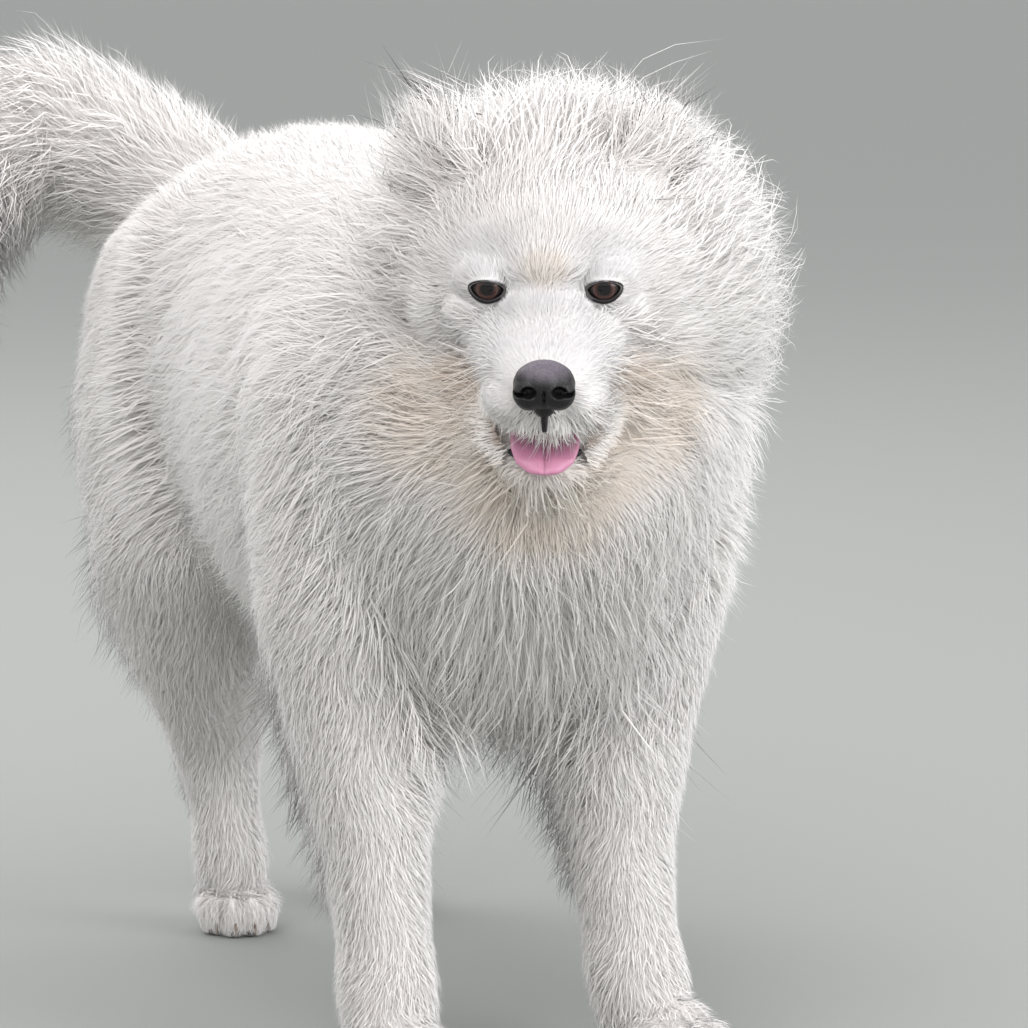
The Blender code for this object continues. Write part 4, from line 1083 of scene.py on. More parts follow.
# A lock: the share of tufts that lead one, how far it draws others in per length, how strongly,
# and how the pull grows towards the tips
LEADING_SHARE = 0.11
LOCK_REACH = 0.40
LOCK_PULL = (0.15, 0.65)
LOCK_CURVE = 1.5


def clumped(line, length, chance):
    """Draws the tufts of each small lock together towards its leading tuft."""
    roots = line[:, 0]
    leaders = chance.permutation(len(roots))[: int(len(roots) * LEADING_SHARE)]
    tree = KDTree(len(leaders))
    for k, index in enumerate(leaders):
        tree.insert(roots[index], k)
    tree.balance()
    own = np.array([leaders[tree.find(root)[1]] for root in roots])
    apart = np.linalg.norm(roots - roots[own], axis=1)
    pull = np.clip(1.0 - apart / np.maximum(length * LOCK_REACH, 1e-6), 0, 1)
    pull *= chance.uniform(*LOCK_PULL, len(roots))
    rates = np.linspace(0.0, 1.0, line.shape[1]) ** LOCK_CURVE
    return line + (line[own] - line) * (pull[:, None] * rates[None])[..., None]


WAVE_TURNS = (0.8, 2.0)
WAVE_SIZE = (0.0008, 0.0032)
WAVE_FLATNESS = 0.7


def crimped(line, chance):
    """Gives long thin hairs a few small waves."""
    count, points, _ = line.shape
    steps = np.linspace(0.0, 1.0, points)
    whole = unit(line[:, -1] - line[:, 0])
    side = unit(np.cross(whole, chance.normal(size=(count, 3))))
    other = np.cross(whole, side)
    turns = chance.uniform(*WAVE_TURNS, count)[:, None] * steps[None] * math.tau
    start = chance.uniform(0, math.tau, count)[:, None]
    size = chance.uniform(*WAVE_SIZE, count)[:, None] * steps[None]
    waves = side[:, None] * (np.sin(turns + start) * size)[..., None]
    return line + waves + other[:, None] * (np.cos(turns + start) * size * WAVE_FLATNESS)[..., None]


PATCH = 0.003
# A tuft's cross-section: its corners across and out, in half widths, and how much it thins. Its
# shading turns mostly with the skin, by a share of its own that is larger in loose feathers
TUFT_CORNERS = ((1.0, -0.35), (0.0, 0.65), (-1.0, -0.35))
TUFT_THINS = 0.30
OWN_SHADING = 0.18
LOOSE_SHADING = 0.70
BASE_TRIANGLES = 1
RING_TRIANGLES = 6
TIP_TRIANGLES = 3


def tuft_mesh(name, line, half_widths, normals, ups, maps, tones, loose):
    """One mesh of closed three-sided tufts, each with a patch of its own on the bake map."""
    count, points, _ = line.shape
    rings = points - 1
    verts = []
    shading = []
    own_share = (OWN_SHADING + LOOSE_SHADING * loose)[:, None]
    for k in range(rings):
        t = k / rings
        way = unit(line[:, k + 1] - line[:, max(k - 1, 0)])
        up = unit(normals * (1 - t) + ups * t)
        side = unit(np.cross(up, way))
        rise = np.cross(way, side)
        width = (half_widths * (1.0 - TUFT_THINS * t))[:, None]
        for across, out in TUFT_CORNERS:
            own = side * across + rise * out
            verts.append(line[:, k] + own * width)
            shading.append(unit(up + own * own_share))
    verts.append(line[:, -1])
    shading.append(ups)
    verts = np.stack(verts, axis=1)
    shading = np.stack(shading, axis=1)
    faces = [(2, 1, 0)]
    for k in range(rings - 1):
        a = 3 * k
        for i, j in ((0, 1), (1, 2), (2, 0)):
            faces += [(a + 3 + i, a + i, a + j), (a + 3 + i, a + j, a + 3 + j)]
    a = 3 * (rings - 1)
    faces += [(a + 3, a, a + 1), (a + 3, a + 1, a + 2), (a + 3, a + 2, a)]
    faces = np.array(faces)
    per = verts.shape[1]
    columns = np.tile((0.5, 0.0, -0.5), rings)
    rows = np.repeat(np.arange(rings) / rings - 0.5, 3)
    patch = np.column_stack((np.append(columns, 0.0), np.append(rows, 0.5))) * PATCH
    index = (faces[None] + (np.arange(count) * per)[:, None, None]).reshape(-1)
    mesh = bpy.data.meshes.new(name)
    mesh.vertices.add(count * per)
    mesh.vertices.foreach_set("co", verts.reshape(-1))
    mesh.loops.add(index.size)
    mesh.loops.foreach_set("vertex_index", index)
    mesh.polygons.add(index.size // 3)
    mesh.polygons.foreach_set("loop_start", np.arange(index.size // 3) * 3)
    mesh.update(calc_edges=True)
    layer = mesh.uv_layers.new(name="OFBake")
    layer.data.foreach_set("uv", (maps[:, None] + patch[None]).reshape(-1, 2)[index].reshape(-1))
    tone = mesh.attributes.new("tone", "FLOAT", "POINT")
    tone.data.foreach_set("value", np.repeat(tones, per))
    along = mesh.attributes.new("along", "FLOAT", "POINT")
    shares = np.append(np.repeat(np.arange(rings) / rings, 3), 1.0)
    along.data.foreach_set("value", np.tile(shares, count))
    mesh.shade_smooth()
    mesh.normals_split_custom_set_from_vertices(shading.reshape(-1, 3))
    return linked(name, mesh)


MOST_TRIANGLES = 188_000
REGIONS = ("head", "tail", "forelegs", "hindlegs", "chest", "rump")


def region_of(roots, where):
    hind = (roots[:, 1] > 0).astype(int)
    body = np.where(where["leg"] > 0.5, 2 + hind, 4 + hind)
    return np.where(where["head"] > 0.5, 0, np.where(where["tail"] > 0.5, 1, body))


# The face's middle in the head's frame, and how much denser the coat is near it
FACE_MIDDLE = np.array((0.0, 0.0, -0.03))
FACE_FADE = (-0.16, -0.06)
FACE_DENSER = 1.2
# Where the long wisps grow: round the ruff's rim, most of all low down, and within a reach
RIM_FADES = ((0.010, 0.060), (-0.190, -0.150))
LOW_FADE = (0.010, 0.090)
RUFF_MIDDLE = np.array((0.0, 0.08, -0.02))
RIM_REACH = 0.16
RIM_WISPS = (0.25, 2.6)
OTHER_WISPS = 0.03
OTHER_FADE = (0.050, 0.120)


def most_near_the_face(places):
    """How dense the locks and hairs are at each place."""
    gap = np.linalg.norm(in_head(places) - FACE_MIDDLE, axis=1)
    return 1.0 + FACE_DENSER * ramp(-gap, *FACE_FADE)


def round_the_face(places):
    """How dense the long wisps are at each place."""
    head = in_head(places)
    rim = ramp(head[:, 1], *RIM_FADES[0]) * ramp(-head[:, 1], *RIM_FADES[1])
    high, low = RIM_WISPS
    within = np.linalg.norm(head - RUFF_MIDDLE, axis=1) < RIM_REACH
    wisps = rim * (high + low * ramp(-head[:, 2], *LOW_FADE)) * within
    return OTHER_WISPS * ramp(head[:, 1], *OTHER_FADE) + wisps


WIDTH_PER_LENGTH = 0.8
WIDTH_RANGE = (0.7, 1.25)
LOOSE_DEPTH = 0.014
LOOSE_TAIL = 0.5


def make_coat(skin):
    """All the tufts of the coat, one mesh or more for each kind and region."""
    chance = np.random.default_rng(SEED)
    pieces = []
    for name, kind in KINDS.items():
        favour = round_the_face if name == "wisps" else most_near_the_face
        roots, normals, maps, depth = sampled(skin, kind, chance, favour)
        line, length, ups, where = grown(skin, kind, roots, normals, depth, chance)
        if name == "locks":
            line = clumped(line, length, chance)
        if name == "wisps":
            line = crimped(line, chance)
        half_widths = kind.width + kind.widen * length * WIDTH_PER_LENGTH
        half_widths *= chance.uniform(*WIDTH_RANGE, len(roots))
        tones = chance.random(len(roots))
        loose = np.clip(feathering(roots, normals) / LOOSE_DEPTH + LOOSE_TAIL * where["tail"], 0, 1)
        labels = region_of(roots, where) if name != "wisps" else np.zeros(len(roots), int)
        each = BASE_TRIANGLES + RING_TRIANGLES * (kind.points - 2) + TIP_TRIANGLES
        clear = ~crosses_eye(line)
        for label in np.unique(labels):
            chosen = np.flatnonzero((labels == label) & clear)
            parts = math.ceil(len(chosen) * each / MOST_TRIANGLES)
            for part, index in enumerate(np.array_split(chosen, parts)):
                rows = (row[index] for row in (line, half_widths, normals, ups, maps, tones, loose))
                pieces.append(tuft_mesh(f"{name}_{REGIONS[label]}_{part + 1}", *rows))
    return pieces


# The face


def make_eyeball(name, side):
    bm = bmesh.new()
    add_ball(bm, (side * EYE_SPREAD, EYE_DEPTH, 0.0), (EYE_RADIUS,) * 3, HEAD_FRAME, subdivisions=5)
    ball = object_from(name, bm)
    ball.data.shade_smooth()
    return ball


# The lids' rims: how far they stand off the opening, and their thickness above, below, outside
RIM_SCALE = 1.02
RIM_OFF = 0.0009
RIM_THICKNESS = 0.00050
RIM_BELOW = 0.00095
RIM_OUTSIDE = 0.00025


def make_eyelids():
    """The black rims of the lids, thicker below and at the outer corner."""
    rims = []
    for side in (-1, 1):
        middle = Vector((side * EYE_SPREAD, EYE_DEPTH, 0.0))
        points = []
        radii = []
        for place in almond(side, RIM_SCALE):
            out = (place - middle).normalized()
            low = max(0.0, -place.z / LID_LOWER)
            outer = max(0.0, side * (place.x - middle.x) / LID_HALF_LENGTH)
            points.append(HEAD_FRAME @ (place + out * RIM_OFF))
            radii.append(RIM_THICKNESS + RIM_BELOW * low + RIM_OUTSIDE * outer)
        rims.append(tube("rim", points, radii, closed=True))
    return joined("eyelids", rims)


def make_nose():
    """The nose leather, with nostrils, their side slits and the groove down to the lip."""
    bm = bmesh.new()
    for centre, half in NOSE_BALLS:
        add_ball(bm, centre, half, HEAD_FRAME, subdivisions=4)
    nose = fused("nose_leather", bm, NOSE_VOXEL, 8)
    for side in (-1, 1):
        for centre, half in NOSTRIL_BALLS:
            hollow = bmesh.new()
            add_ball(hollow, mirrored(centre, side), half, HEAD_FRAME)
            combine(nose, object_from("nostril_space", hollow), "DIFFERENCE")
    groove = bmesh.new()
    add_ball(groove, *PHILTRUM, HEAD_FRAME)
    combine(nose, object_from("groove_space", groove), "DIFFERENCE")
    melted(nose, NOSE_VOXEL, 2)
    nose.data.shade_smooth()
    return nose


LIP_FOLD = ((-0.0745, -0.0515), (0.0014, 0.0078, 0.0105))
FOLD_SPREAD = 0.55


def make_philtrum():
    """The dark fold below the nose, parted down its middle."""
    bm = bmesh.new()
    place, half = LIP_FOLD
    for side in (-1, 1):
        add_ball(bm, (side * half[0] * FOLD_SPREAD, *place), half, HEAD_FRAME)
    fold = fused("lip_fold", bm, NOSE_VOXEL, 2)
    fold.data.shade_smooth()
    return fold


# The lips' black edges: which part of each edge shows, its thickness, and how much it thins out
# towards the corner
LIP_EDGES = ((UPPER_LIP[:4], 0.0015), (LOWER_LIP[:3], 0.0022))
LIP_THINS = 0.35
MOUTH_CORNER = 0.038


def make_lips():
    """The rolled black edges of both lips, on both sides of the middle."""
    lips = []
    for edge, thickness in LIP_EDGES:
        half = [Vector(p) for p in filled(edge, HEAD_STEPS)]
        points = [mirrored(p, -1) for p in reversed(half)] + half[1:]
        radii = [thickness * (1.0 - LIP_THINS * abs(p.x) / MOUTH_CORNER) for p in points]
        lips.append(tube("lip", [HEAD_FRAME @ p for p in points], radii))
    return joined("lips", lips)


TONGUE_STEPS = 6
TONGUE_REACH = 0.0055
TONGUE_VOXEL = 0.0012
TONGUE_DOWN = Vector((0, 0.35, -1.0))
TONGUE_UP = Vector((0, -0.35, 0.94))
GROOVE_WIDTH = 0.0042
GROOVE_DEPTH = 0.0016


def make_tongue():
    """The tongue, lying over the lower lip, with a groove down its middle."""
    bm = bmesh.new()
    for y, z, half_width, half_thick in filled(TONGUE_STATIONS, TONGUE_STEPS):
        add_ball(bm, (0, y, z), (half_width, TONGUE_REACH, half_thick), HEAD_FRAME)
    tongue = fused("tongue_flesh", bm, TONGUE_VOXEL, 6)
    into = HEAD_FRAME.inverted()
    down = HEAD_FRAME.to_3x3() @ TONGUE_DOWN
    for vertex in tongue.data.vertices:
        place = into @ vertex.co
        share = max(0.0, 1.0 - (place.x / GROOVE_WIDTH) ** 2)
        upward = (into.to_3x3() @ vertex.normal).dot(TONGUE_UP)
        vertex.co += down * (GROOVE_DEPTH * share * share * max(0.0, upward))
    tongue.data.shade_smooth()
    return tongue


# Whiskers: rows down the muzzle and places along it, where the first is rooted and how far each
# row and place moves on, their way, length, droop and thickness
WHISKER_ROWS = 3
WHISKER_PLACES = 4
WHISKER_POINTS = 7
WHISKER_ROOT = (0.033, -0.046, -0.030)
WHISKER_ROW_STEP = (-0.0015, -0.0065)
WHISKER_PLACE_STEP = 0.009
WHISKER_WAY = (1.0, 0.15, -0.20)
WHISKER_ROW_DROP = 0.22
WHISKER_BACK = 0.25
WHISKER_STRAY = 0.10
WHISKER_LENGTH = (0.034, 0.020, 0.004)
WHISKER_DROOP = (0.012, -0.010, 0.016)
WHISKER_RADII = (0.00020, 0.00004)


def make_whiskers():
    """Long stiff hairs from both sides of the muzzle."""
    chance = np.random.default_rng(SEED + 3)
    across, start, high = WHISKER_ROOT
    inward, downward = WHISKER_ROW_STEP
    shortest, longer, further_back = WHISKER_LENGTH
    droop_back, droop_down, droop_more = WHISKER_DROOP
    thick, thin = WHISKER_RADII
    steps = [k / (WHISKER_POINTS - 1) for k in range(WHISKER_POINTS)]
    hairs = []
    for side in (-1, 1):
        for row in range(WHISKER_ROWS):
            for place in range(WHISKER_PLACES):
                forward = start + WHISKER_PLACE_STEP * place
                root = Vector((side * (across + inward * row), forward, high + downward * row))
                out, back, down = WHISKER_WAY
                back += WHISKER_BACK * chance.random()
                way = Vector((side * out, back, down - WHISKER_ROW_DROP * row))
                way = (way + Vector(chance.normal(0, WHISKER_STRAY, 3))).normalized()
                length = shortest + longer * chance.random() + further_back * place
                droop = Vector((0, droop_back, droop_down - droop_more * chance.random()))
                points = [HEAD_FRAME @ (root + way * (length * t) + droop * (t * t)) for t in steps]
                radii = [thick * (1.0 - t) + thin for t in steps]
                hairs.append(tube("hair", points, radii, sides=0))
    return joined("whiskers", hairs)


# Short hairs along the lips: which edge and from which share of it, how many, where their roots
# start and spread to, the way they lie in the middle and what the corner adds, and their length
LipHair = namedtuple("LipHair", "edge first count start spread way corner length")
LIP_HAIRS = (
    LipHair(
        edge=UPPER_LIP,
        first=0.0,
        count=1500,
        start=(0.0, -0.0022, 0.0010),
        spread=(0.0, 0.0012, 0.0120),
        way=(0.0, -0.42, -1.0),
        corner=(0.16, 0.75, 0.0),
        length=(0.0060, 0.0115),
    ),
    LipHair(
        edge=LOWER_LIP,
        first=0.42,
        count=1100,
        start=(0.0012, -0.0010, 0.0004),
        spread=(0.0020, 0.0010, -0.0100),
        way=(0.30, 0.10, -0.40),
        corner=(0.40, 0.55, 0.10),
        length=(0.0070, 0.0120),
    ),
)
LIP_STEPS = 8
LIP_HAIR_SCATTER = 0.0006
LIP_HAIR_STRAY = 0.14
LIP_HAIR_BOW = 0.0012
LIP_HAIR_WIDTHS = (0.00022, 0.00036)
LIP_HAIR_LOOSE = 0.3
LIP_PARTING = 0.0022
# Hairs at the mouth's corner are longer, by a share that grows between two shares of the edge
CORNER_LONGER = 0.5
CORNER_FADE = (0.45, 0.85)
LIP_FRONT = (0.0, -0.9, 0.3)
LIP_CORNER_TURN = (0.9, 0.3, 0.0)


def make_lip_hairs(form, skin):
    """Short hairs that hang from the upper lip over the mouth and fill its corners."""
    chance = np.random.default_rng(SEED + 5)
    lines = []
    ways = []
    for kind in LIP_HAIRS:
        edge = np.array(filled(kind.edge, LIP_STEPS))
        pick = chance.integers(int(len(edge) * kind.first), len(edge), kind.count)
        side = np.ones((kind.count, 3))
        side[:, 0] = np.where(chance.random(kind.count) < 0.5, -1.0, 1.0)
        out = edge[pick, :1] / edge[-1, 0]
        roots = edge[pick] + kind.start + chance.random((kind.count, 1)) * kind.spread
        roots += chance.normal(0, LIP_HAIR_SCATTER, (kind.count, 3))
        roots[:, 0] = np.maximum(roots[:, 0], LIP_PARTING)
        stray = chance.normal(0, LIP_HAIR_STRAY, (kind.count, 3))
        way = unit(kind.way + out * kind.corner + stray)
        length = chance.uniform(*kind.length, kind.count)[:, None]
        length = length * (1.0 + CORNER_LONGER * ramp(out, *CORNER_FADE))
        normals = unit(LIP_FRONT + out * LIP_CORNER_TURN)
        tips = roots + way * length
        middle = (roots + tips) / 2 + normals * LIP_HAIR_BOW
        lines.append(np.stack((roots * side, middle * side, tips * side), axis=1))
        ways.append(normals * side)
    line = np.concatenate(lines) @ HEAD_TURNED.T + HEAD_ORIGIN
    ways = from_head(np.concatenate(ways))
    near = np.array([unwrap_near(form, skin, point) for point in line[:, 0]])
    count = len(line)
    widths = chance.uniform(*LIP_HAIR_WIDTHS, count)
    loose = np.full(count, LIP_HAIR_LOOSE)
    return tuft_mesh("hairs_lip", line, widths, ways, ways, near, chance.random(count), loose)


def unwrap_near(form, skin, point):
    """The place on the skin's unwrap that is nearest to a point."""
    _, _, index, _ = skin.tree.find_nearest(point)
    polygon = form.data.polygons[index]
    flat = [form.data.uv_layers["OFBake"].uv[i].vector for i in polygon.loop_indices]
    return tuple(sum(flat, Vector((0.0, 0.0))) / len(flat))


# The feet


# The pads' half thickness and how far they are sunk, and sizes and places as shares of the paw
PAD_THICKNESS = 0.0042
TOE_PAD = (0.21, 0.20)
TOE_PAD_FORWARD = 0.10
HEEL_PAD = (0.46, 0.30)
HEEL_PAD_BACK = 0.22


def make_pads():
    """The pads under the paws, which the dog stands on."""
    bm = bmesh.new()
    for name, (_, half_width, half_length, _) in PAWS.items():
        place = paw_frame(name)
        lift = PAW_SINK + PAD_THICKNESS
        for across, forward in TOES:
            toe = (half_width * across, -half_length * (forward + TOE_PAD_FORWARD), lift)
            size = (half_width * TOE_PAD[0], half_length * TOE_PAD[1], PAD_THICKNESS)
            add_ball(bm, toe, size, place)
        heel = (half_width * HEEL_PAD[0], half_length * HEEL_PAD[1], PAD_THICKNESS)
        add_ball(bm, (0.0, half_length * HEEL_PAD_BACK, lift), heel, place)
    pads = object_from("paw_pads", bm)
    pads.data.shade_smooth()
    return pads


CLAW_POINTS = 6
CLAW_FORWARD = 0.36
CLAW_SUNK = 0.0035
CLAW_LIFT = 0.0105
CLAW_SPREAD = 0.002
CLAW_LENGTH = 0.0070
CLAW_DROP = 0.0075
CLAW_CURVE = 1.7
CLAW_RADIUS = 0.0016
CLAW_THINS = 0.75


def make_claws():
    """A curved claw at the end of every toe."""
    claws = []
    for name, (_, half_width, half_length, _) in PAWS.items():
        place = paw_frame(name)
        for across, forward in TOES:
            reach = half_length * (forward + CLAW_FORWARD)
            root = Vector((half_width * across, CLAW_SUNK - reach, PAW_SINK + CLAW_LIFT))
            points = []
            radii = []
            for k in range(CLAW_POINTS):
                t = k / (CLAW_POINTS - 1)
                way = (across * CLAW_SPREAD * t, -CLAW_LENGTH * t, -CLAW_DROP * t**CLAW_CURVE)
                points.append(place @ (root + Vector(way)))
                radii.append(CLAW_RADIUS * (1.0 - CLAW_THINS * t))
            claws.append(tube("claw", points, radii))
    return joined("claws", claws)


# The finishes


def put(tree, kind, inputs, **settings):
    """Adds a node with its settings, and its inputs set or linked."""
    made = tree.nodes.new(kind)
    for key, value in settings.items():
        setattr(made, key, value)
    for key, value in inputs.items():
        socket = made.inputs[key]
        if isinstance(value, bpy.types.NodeSocket):
            tree.links.new(value, socket)
        else:
            socket.default_value = value
    return made


def head_place(tree):
    """Object coordinates turned into the head's frame, with both sides alike."""
    place = put(tree, "ShaderNodeTexCoord", {}).outputs["Object"]
    turned = put(
        tree,
        "ShaderNodeMapping",
        {
            "Vector": place,
            "Location": EYES_AT + SET_DOWN,
            "Rotation": HEAD_FRAME.to_3x3().to_euler("XYZ"),
        },
        vector_type="TEXTURE",
    ).outputs["Vector"]
    apart = put(tree, "ShaderNodeSeparateXYZ", {"Vector": turned})
    across = put(tree, "ShaderNodeMath", {0: apart.outputs["X"]}, operation="ABSOLUTE").outputs[0]
    return put(
        tree,
        "ShaderNodeCombineXYZ",
        {"X": across, "Y": apart.outputs["Y"], "Z": apart.outputs["Z"]},
    ).outputs[0]


def spread(tree, value, start, end, low=0.0, high=1.0, soft=False):
    """A value turned from one range to another."""
    return put(
        tree,
        "ShaderNodeMapRange",
        {"Value": value, "From Min": start, "From Max": end, "To Min": low, "To Max": high},
        interpolation_type="SMOOTHSTEP" if soft else "LINEAR",
    ).outputs["Result"]


def spot(tree, place, centre, radii, strength, soft=0.35):
    """A mask that is strong inside an ellipsoid and fades to nothing at its edge."""
    offset = put(
        tree,
        "ShaderNodeMapping",
        {"Vector": place, "Location": centre, "Scale": radii},
        vector_type="TEXTURE",
    ).outputs["Vector"]
    length = put(tree, "ShaderNodeVectorMath", {0: offset}, operation="LENGTH").outputs["Value"]
    return spread(tree, length, 1.0, soft, 0.0, strength, soft=True)


def blended(tree, factor, first, second, mode="MIX"):
    mix = tree.nodes.new("ShaderNodeMix")
    mix.data_type = "RGBA"
    mix.blend_type = mode
    for index, value in ((0, factor), (6, first), (7, second)):
        if isinstance(value, bpy.types.NodeSocket):
            tree.links.new(value, mix.inputs[index])
        else:
            mix.inputs[index].default_value = value
    return mix.outputs[2]


# Colours of the coat in the head's frame: colour, centre, half sizes, strength. The first two, grey over
# the muzzle and the brows, are painted shade; the rest are the coat's cream and brown colouring
COAT_TINTS_AND_SHADE = (
    # painted shade: grey over the muzzle, darkening the white coat as shade would
    ((0.70, 0.685, 0.700, 1), (0.000, -0.020, -0.022), (0.075, 0.085, 0.060), 0.75),
    # painted shade: grey over the brows above the eyes
    ((0.70, 0.685, 0.700, 1), (0.038, 0.010, 0.018), (0.034, 0.040, 0.026), 0.60),
    ((0.82, 0.66, 0.50, 1), (0.062, 0.030, -0.088), (0.075, 0.070, 0.062), 0.50),
    ((0.82, 0.66, 0.50, 1), (0.000, -0.010, -0.125), (0.085, 0.070, 0.060), 0.55),
    ((0.76, 0.56, 0.42, 1), (0.054, -0.002, -0.056), (0.026, 0.034, 0.024), 0.40),
    ((0.82, 0.68, 0.50, 1), (0.000, 0.000, 0.014), (0.022, 0.030, 0.016), 0.34),
    ((0.26, 0.145, 0.08, 1), (0.029, -0.045, -0.074), (0.0135, 0.034, 0.0150), 0.88),
)
SKIN_DARKS = (
    ((0.020, 0.016, 0.018, 1), (0.000, -0.070, -0.052), (0.017, 0.020, 0.0095), 0.95),
    ((0.030, 0.022, 0.022, 1), (0.034, -0.010, -0.064), (0.012, 0.030, 0.006), 0.90),
    ((0.030, 0.024, 0.026, 1), (0.0345, 0.000, -0.001), (0.0145, 0.016, 0.0088), 0.92),
)


def new_socket(tree, name, kind, way, value=None):
    made = tree.interface.new_socket(name=name, socket_type=kind, in_out=way)
    if value is not None:
        made.default_value = value


def coat_tints_and_shade_group():
    """The coat's cream and brown colouring round the face over a ground colour, and painted shade that
    greys the muzzle and the brows.
    """
    tree = bpy.data.node_groups.new("coat_tints_and_shade", "ShaderNodeTree")
    new_socket(tree, "Ground", "NodeSocketColor", "INPUT", (0.9, 0.9, 0.9, 1))
    new_socket(tree, "Strength", "NodeSocketFloat", "INPUT", 1.0)
    new_socket(tree, "Colour", "NodeSocketColor", "OUTPUT")
    inside = tree.nodes.new("NodeGroupInput")
    outside = tree.nodes.new("NodeGroupOutput")
    place = head_place(tree)
    patchy = put(tree, "ShaderNodeTexNoise", {"Vector": place, "Scale": 55.0, "Detail": 3.0}).outputs["Fac"]
    uneven = spread(tree, patchy, 0.3, 0.7, 0.55, 1.15)
    colour = inside.outputs["Ground"]
    for tint_and_shade, centre, radii, strength in COAT_TINTS_AND_SHADE:
        mask = spot(tree, place, centre, radii, strength)
        mask = put(tree, "ShaderNodeMath", {0: mask, 1: uneven}, operation="MULTIPLY").outputs[0]
        mask = put(
            tree,
            "ShaderNodeMath",
            {0: mask, 1: inside.outputs["Strength"]},
            operation="MULTIPLY",
            use_clamp=True,
        ).outputs[0]
        colour = blended(tree, mask, colour, tint_and_shade)
    tree.links.new(colour, outside.inputs["Colour"])
    return tree


def fine_grain_group():
    """A fine uneven height and its matching shade, for hair, leather and flesh."""
    tree = bpy.data.node_groups.new("fine_grain", "ShaderNodeTree")
    new_socket(tree, "Scale", "NodeSocketFloat", "INPUT", 400.0)
    new_socket(tree, "Low", "NodeSocketFloat", "INPUT", 0.9)
    new_socket(tree, "High", "NodeSocketFloat", "INPUT", 1.0)
    new_socket(tree, "Height", "NodeSocketFloat", "OUTPUT")
    new_socket(tree, "Shade", "NodeSocketFloat", "OUTPUT")
    inside = tree.nodes.new("NodeGroupInput")
    outside = tree.nodes.new("NodeGroupOutput")
    place = put(tree, "ShaderNodeTexCoord", {}).outputs["Object"]
    noise = put(
        tree, "ShaderNodeTexNoise", {"Vector": place, "Scale": inside.outputs["Scale"], "Detail": 4.0}
    ).outputs["Fac"]
    shade = spread(tree, noise, 0.3, 0.7, inside.outputs["Low"], inside.outputs["High"])
    tree.links.new(noise, outside.inputs["Height"])
    tree.links.new(shade, outside.inputs["Shade"])
    return tree


def finish(name, roughness, **sockets):
    """A new material with its Principled shader's plain sockets set."""
    made = bpy.data.materials.new(name)
    made.use_nodes = True
    shader = made.node_tree.nodes["Principled BSDF"]
    shader.inputs["Roughness"].default_value = roughness
    for socket, value in sockets.items():
        shader.inputs[socket.replace("_", " ")].default_value = value
    return made, made.node_tree, shader


def add_group(tree, group, **inputs):
    made = tree.nodes.new("ShaderNodeGroup")
    made.node_tree = group
    for key, value in inputs.items():
        if isinstance(value, bpy.types.NodeSocket):
            tree.links.new(value, made.inputs[key])
        else:
            made.inputs[key].default_value = value
    return made


def add_bump(tree, shader, height, strength, distance):
    bump = put(tree, "ShaderNodeBump", {"Height": height, "Strength": strength, "Distance": distance})
    tree.links.new(bump.outputs["Normal"], shader.inputs["Normal"])


FUR_SOFTNESS = {
    "Sheen_Weight": 0.15,
    "Sheen_Roughness": 0.6,
    "Specular_IOR_Level": 0.25,
}


def fur_finish(tints_and_shade):
    """Soft white hair, a shade warmer at its roots and a little uneven from tuft to tuft."""
    made, tree, shader = finish("white_fur", 0.70, **FUR_SOFTNESS)
    tone = put(tree, "ShaderNodeAttribute", {}, attribute_name="tone").outputs["Fac"]
    along = put(tree, "ShaderNodeAttribute", {}, attribute_name="along").outputs["Fac"]
    ground = blended(tree, tone, (0.900, 0.878, 0.862, 1), (0.985, 0.975, 0.965, 1))
    root = blended(tree, along, (0.93, 0.90, 0.87, 1), (1.0, 1.0, 1.0, 1))
    ground = blended(tree, 1.0, ground, root, "MULTIPLY")
    colour = add_group(tree, tints_and_shade, Ground=ground, Strength=1.0).outputs["Colour"]
    tree.links.new(colour, shader.inputs["Base Color"])
    return made


def skin_finish(tints_and_shade, grain):
    """Short dense underfur on the skin, dark where it is bare round the eyes and lips."""
    made, tree, shader = finish("short_fur", 0.80, **FUR_SOFTNESS)
    fine = add_group(tree, grain, Scale=900.0, Low=0.86, High=1.0)
    ground = blended(tree, fine.outputs["Shade"], (0.80, 0.77, 0.75, 1), (0.95, 0.935, 0.92, 1))
    colour = add_group(tree, tints_and_shade, Ground=ground, Strength=1.0).outputs["Colour"]
    place = head_place(tree)
    for dark, centre, radii, strength in SKIN_DARKS:
        colour = blended(tree, spot(tree, place, centre, radii, strength, 0.75), colour, dark)
    tree.links.new(colour, shader.inputs["Base Color"])
    add_bump(tree, shader, fine.outputs["Height"], 0.5, 0.0008)
    return made


def lining_finish(grain):
    made, tree, shader = finish("mouth_lining", 0.35, Coat_Weight=0.4)
    fine = add_group(tree, grain, Scale=500.0, Low=0.2, High=0.8)
    colour = blended(tree, fine.outputs["Shade"], (0.030, 0.012, 0.014, 1), (0.120, 0.040, 0.045, 1))
    tree.links.new(colour, shader.inputs["Base Color"])
    add_bump(tree, shader, fine.outputs["Height"], 0.4, 0.0006)
    return made


GAZE_UP = math.radians(5.0)
# The eye's rings: where each begins and is full, from the gaze's axis, and its colour
EYE_RINGS = (
    (0.0048, 0.0060, (0.085, 0.044, 0.037, 1)),
    (0.0062, 0.0070, (0.012, 0.008, 0.008, 1)),
    (0.0085, 0.0105, (0.07, 0.04, 0.04, 1)),
)
PUPIL_EDGE = (0.0036, 0.0046)
PUPIL_COLOUR = (0.003, 0.0025, 0.003, 1)


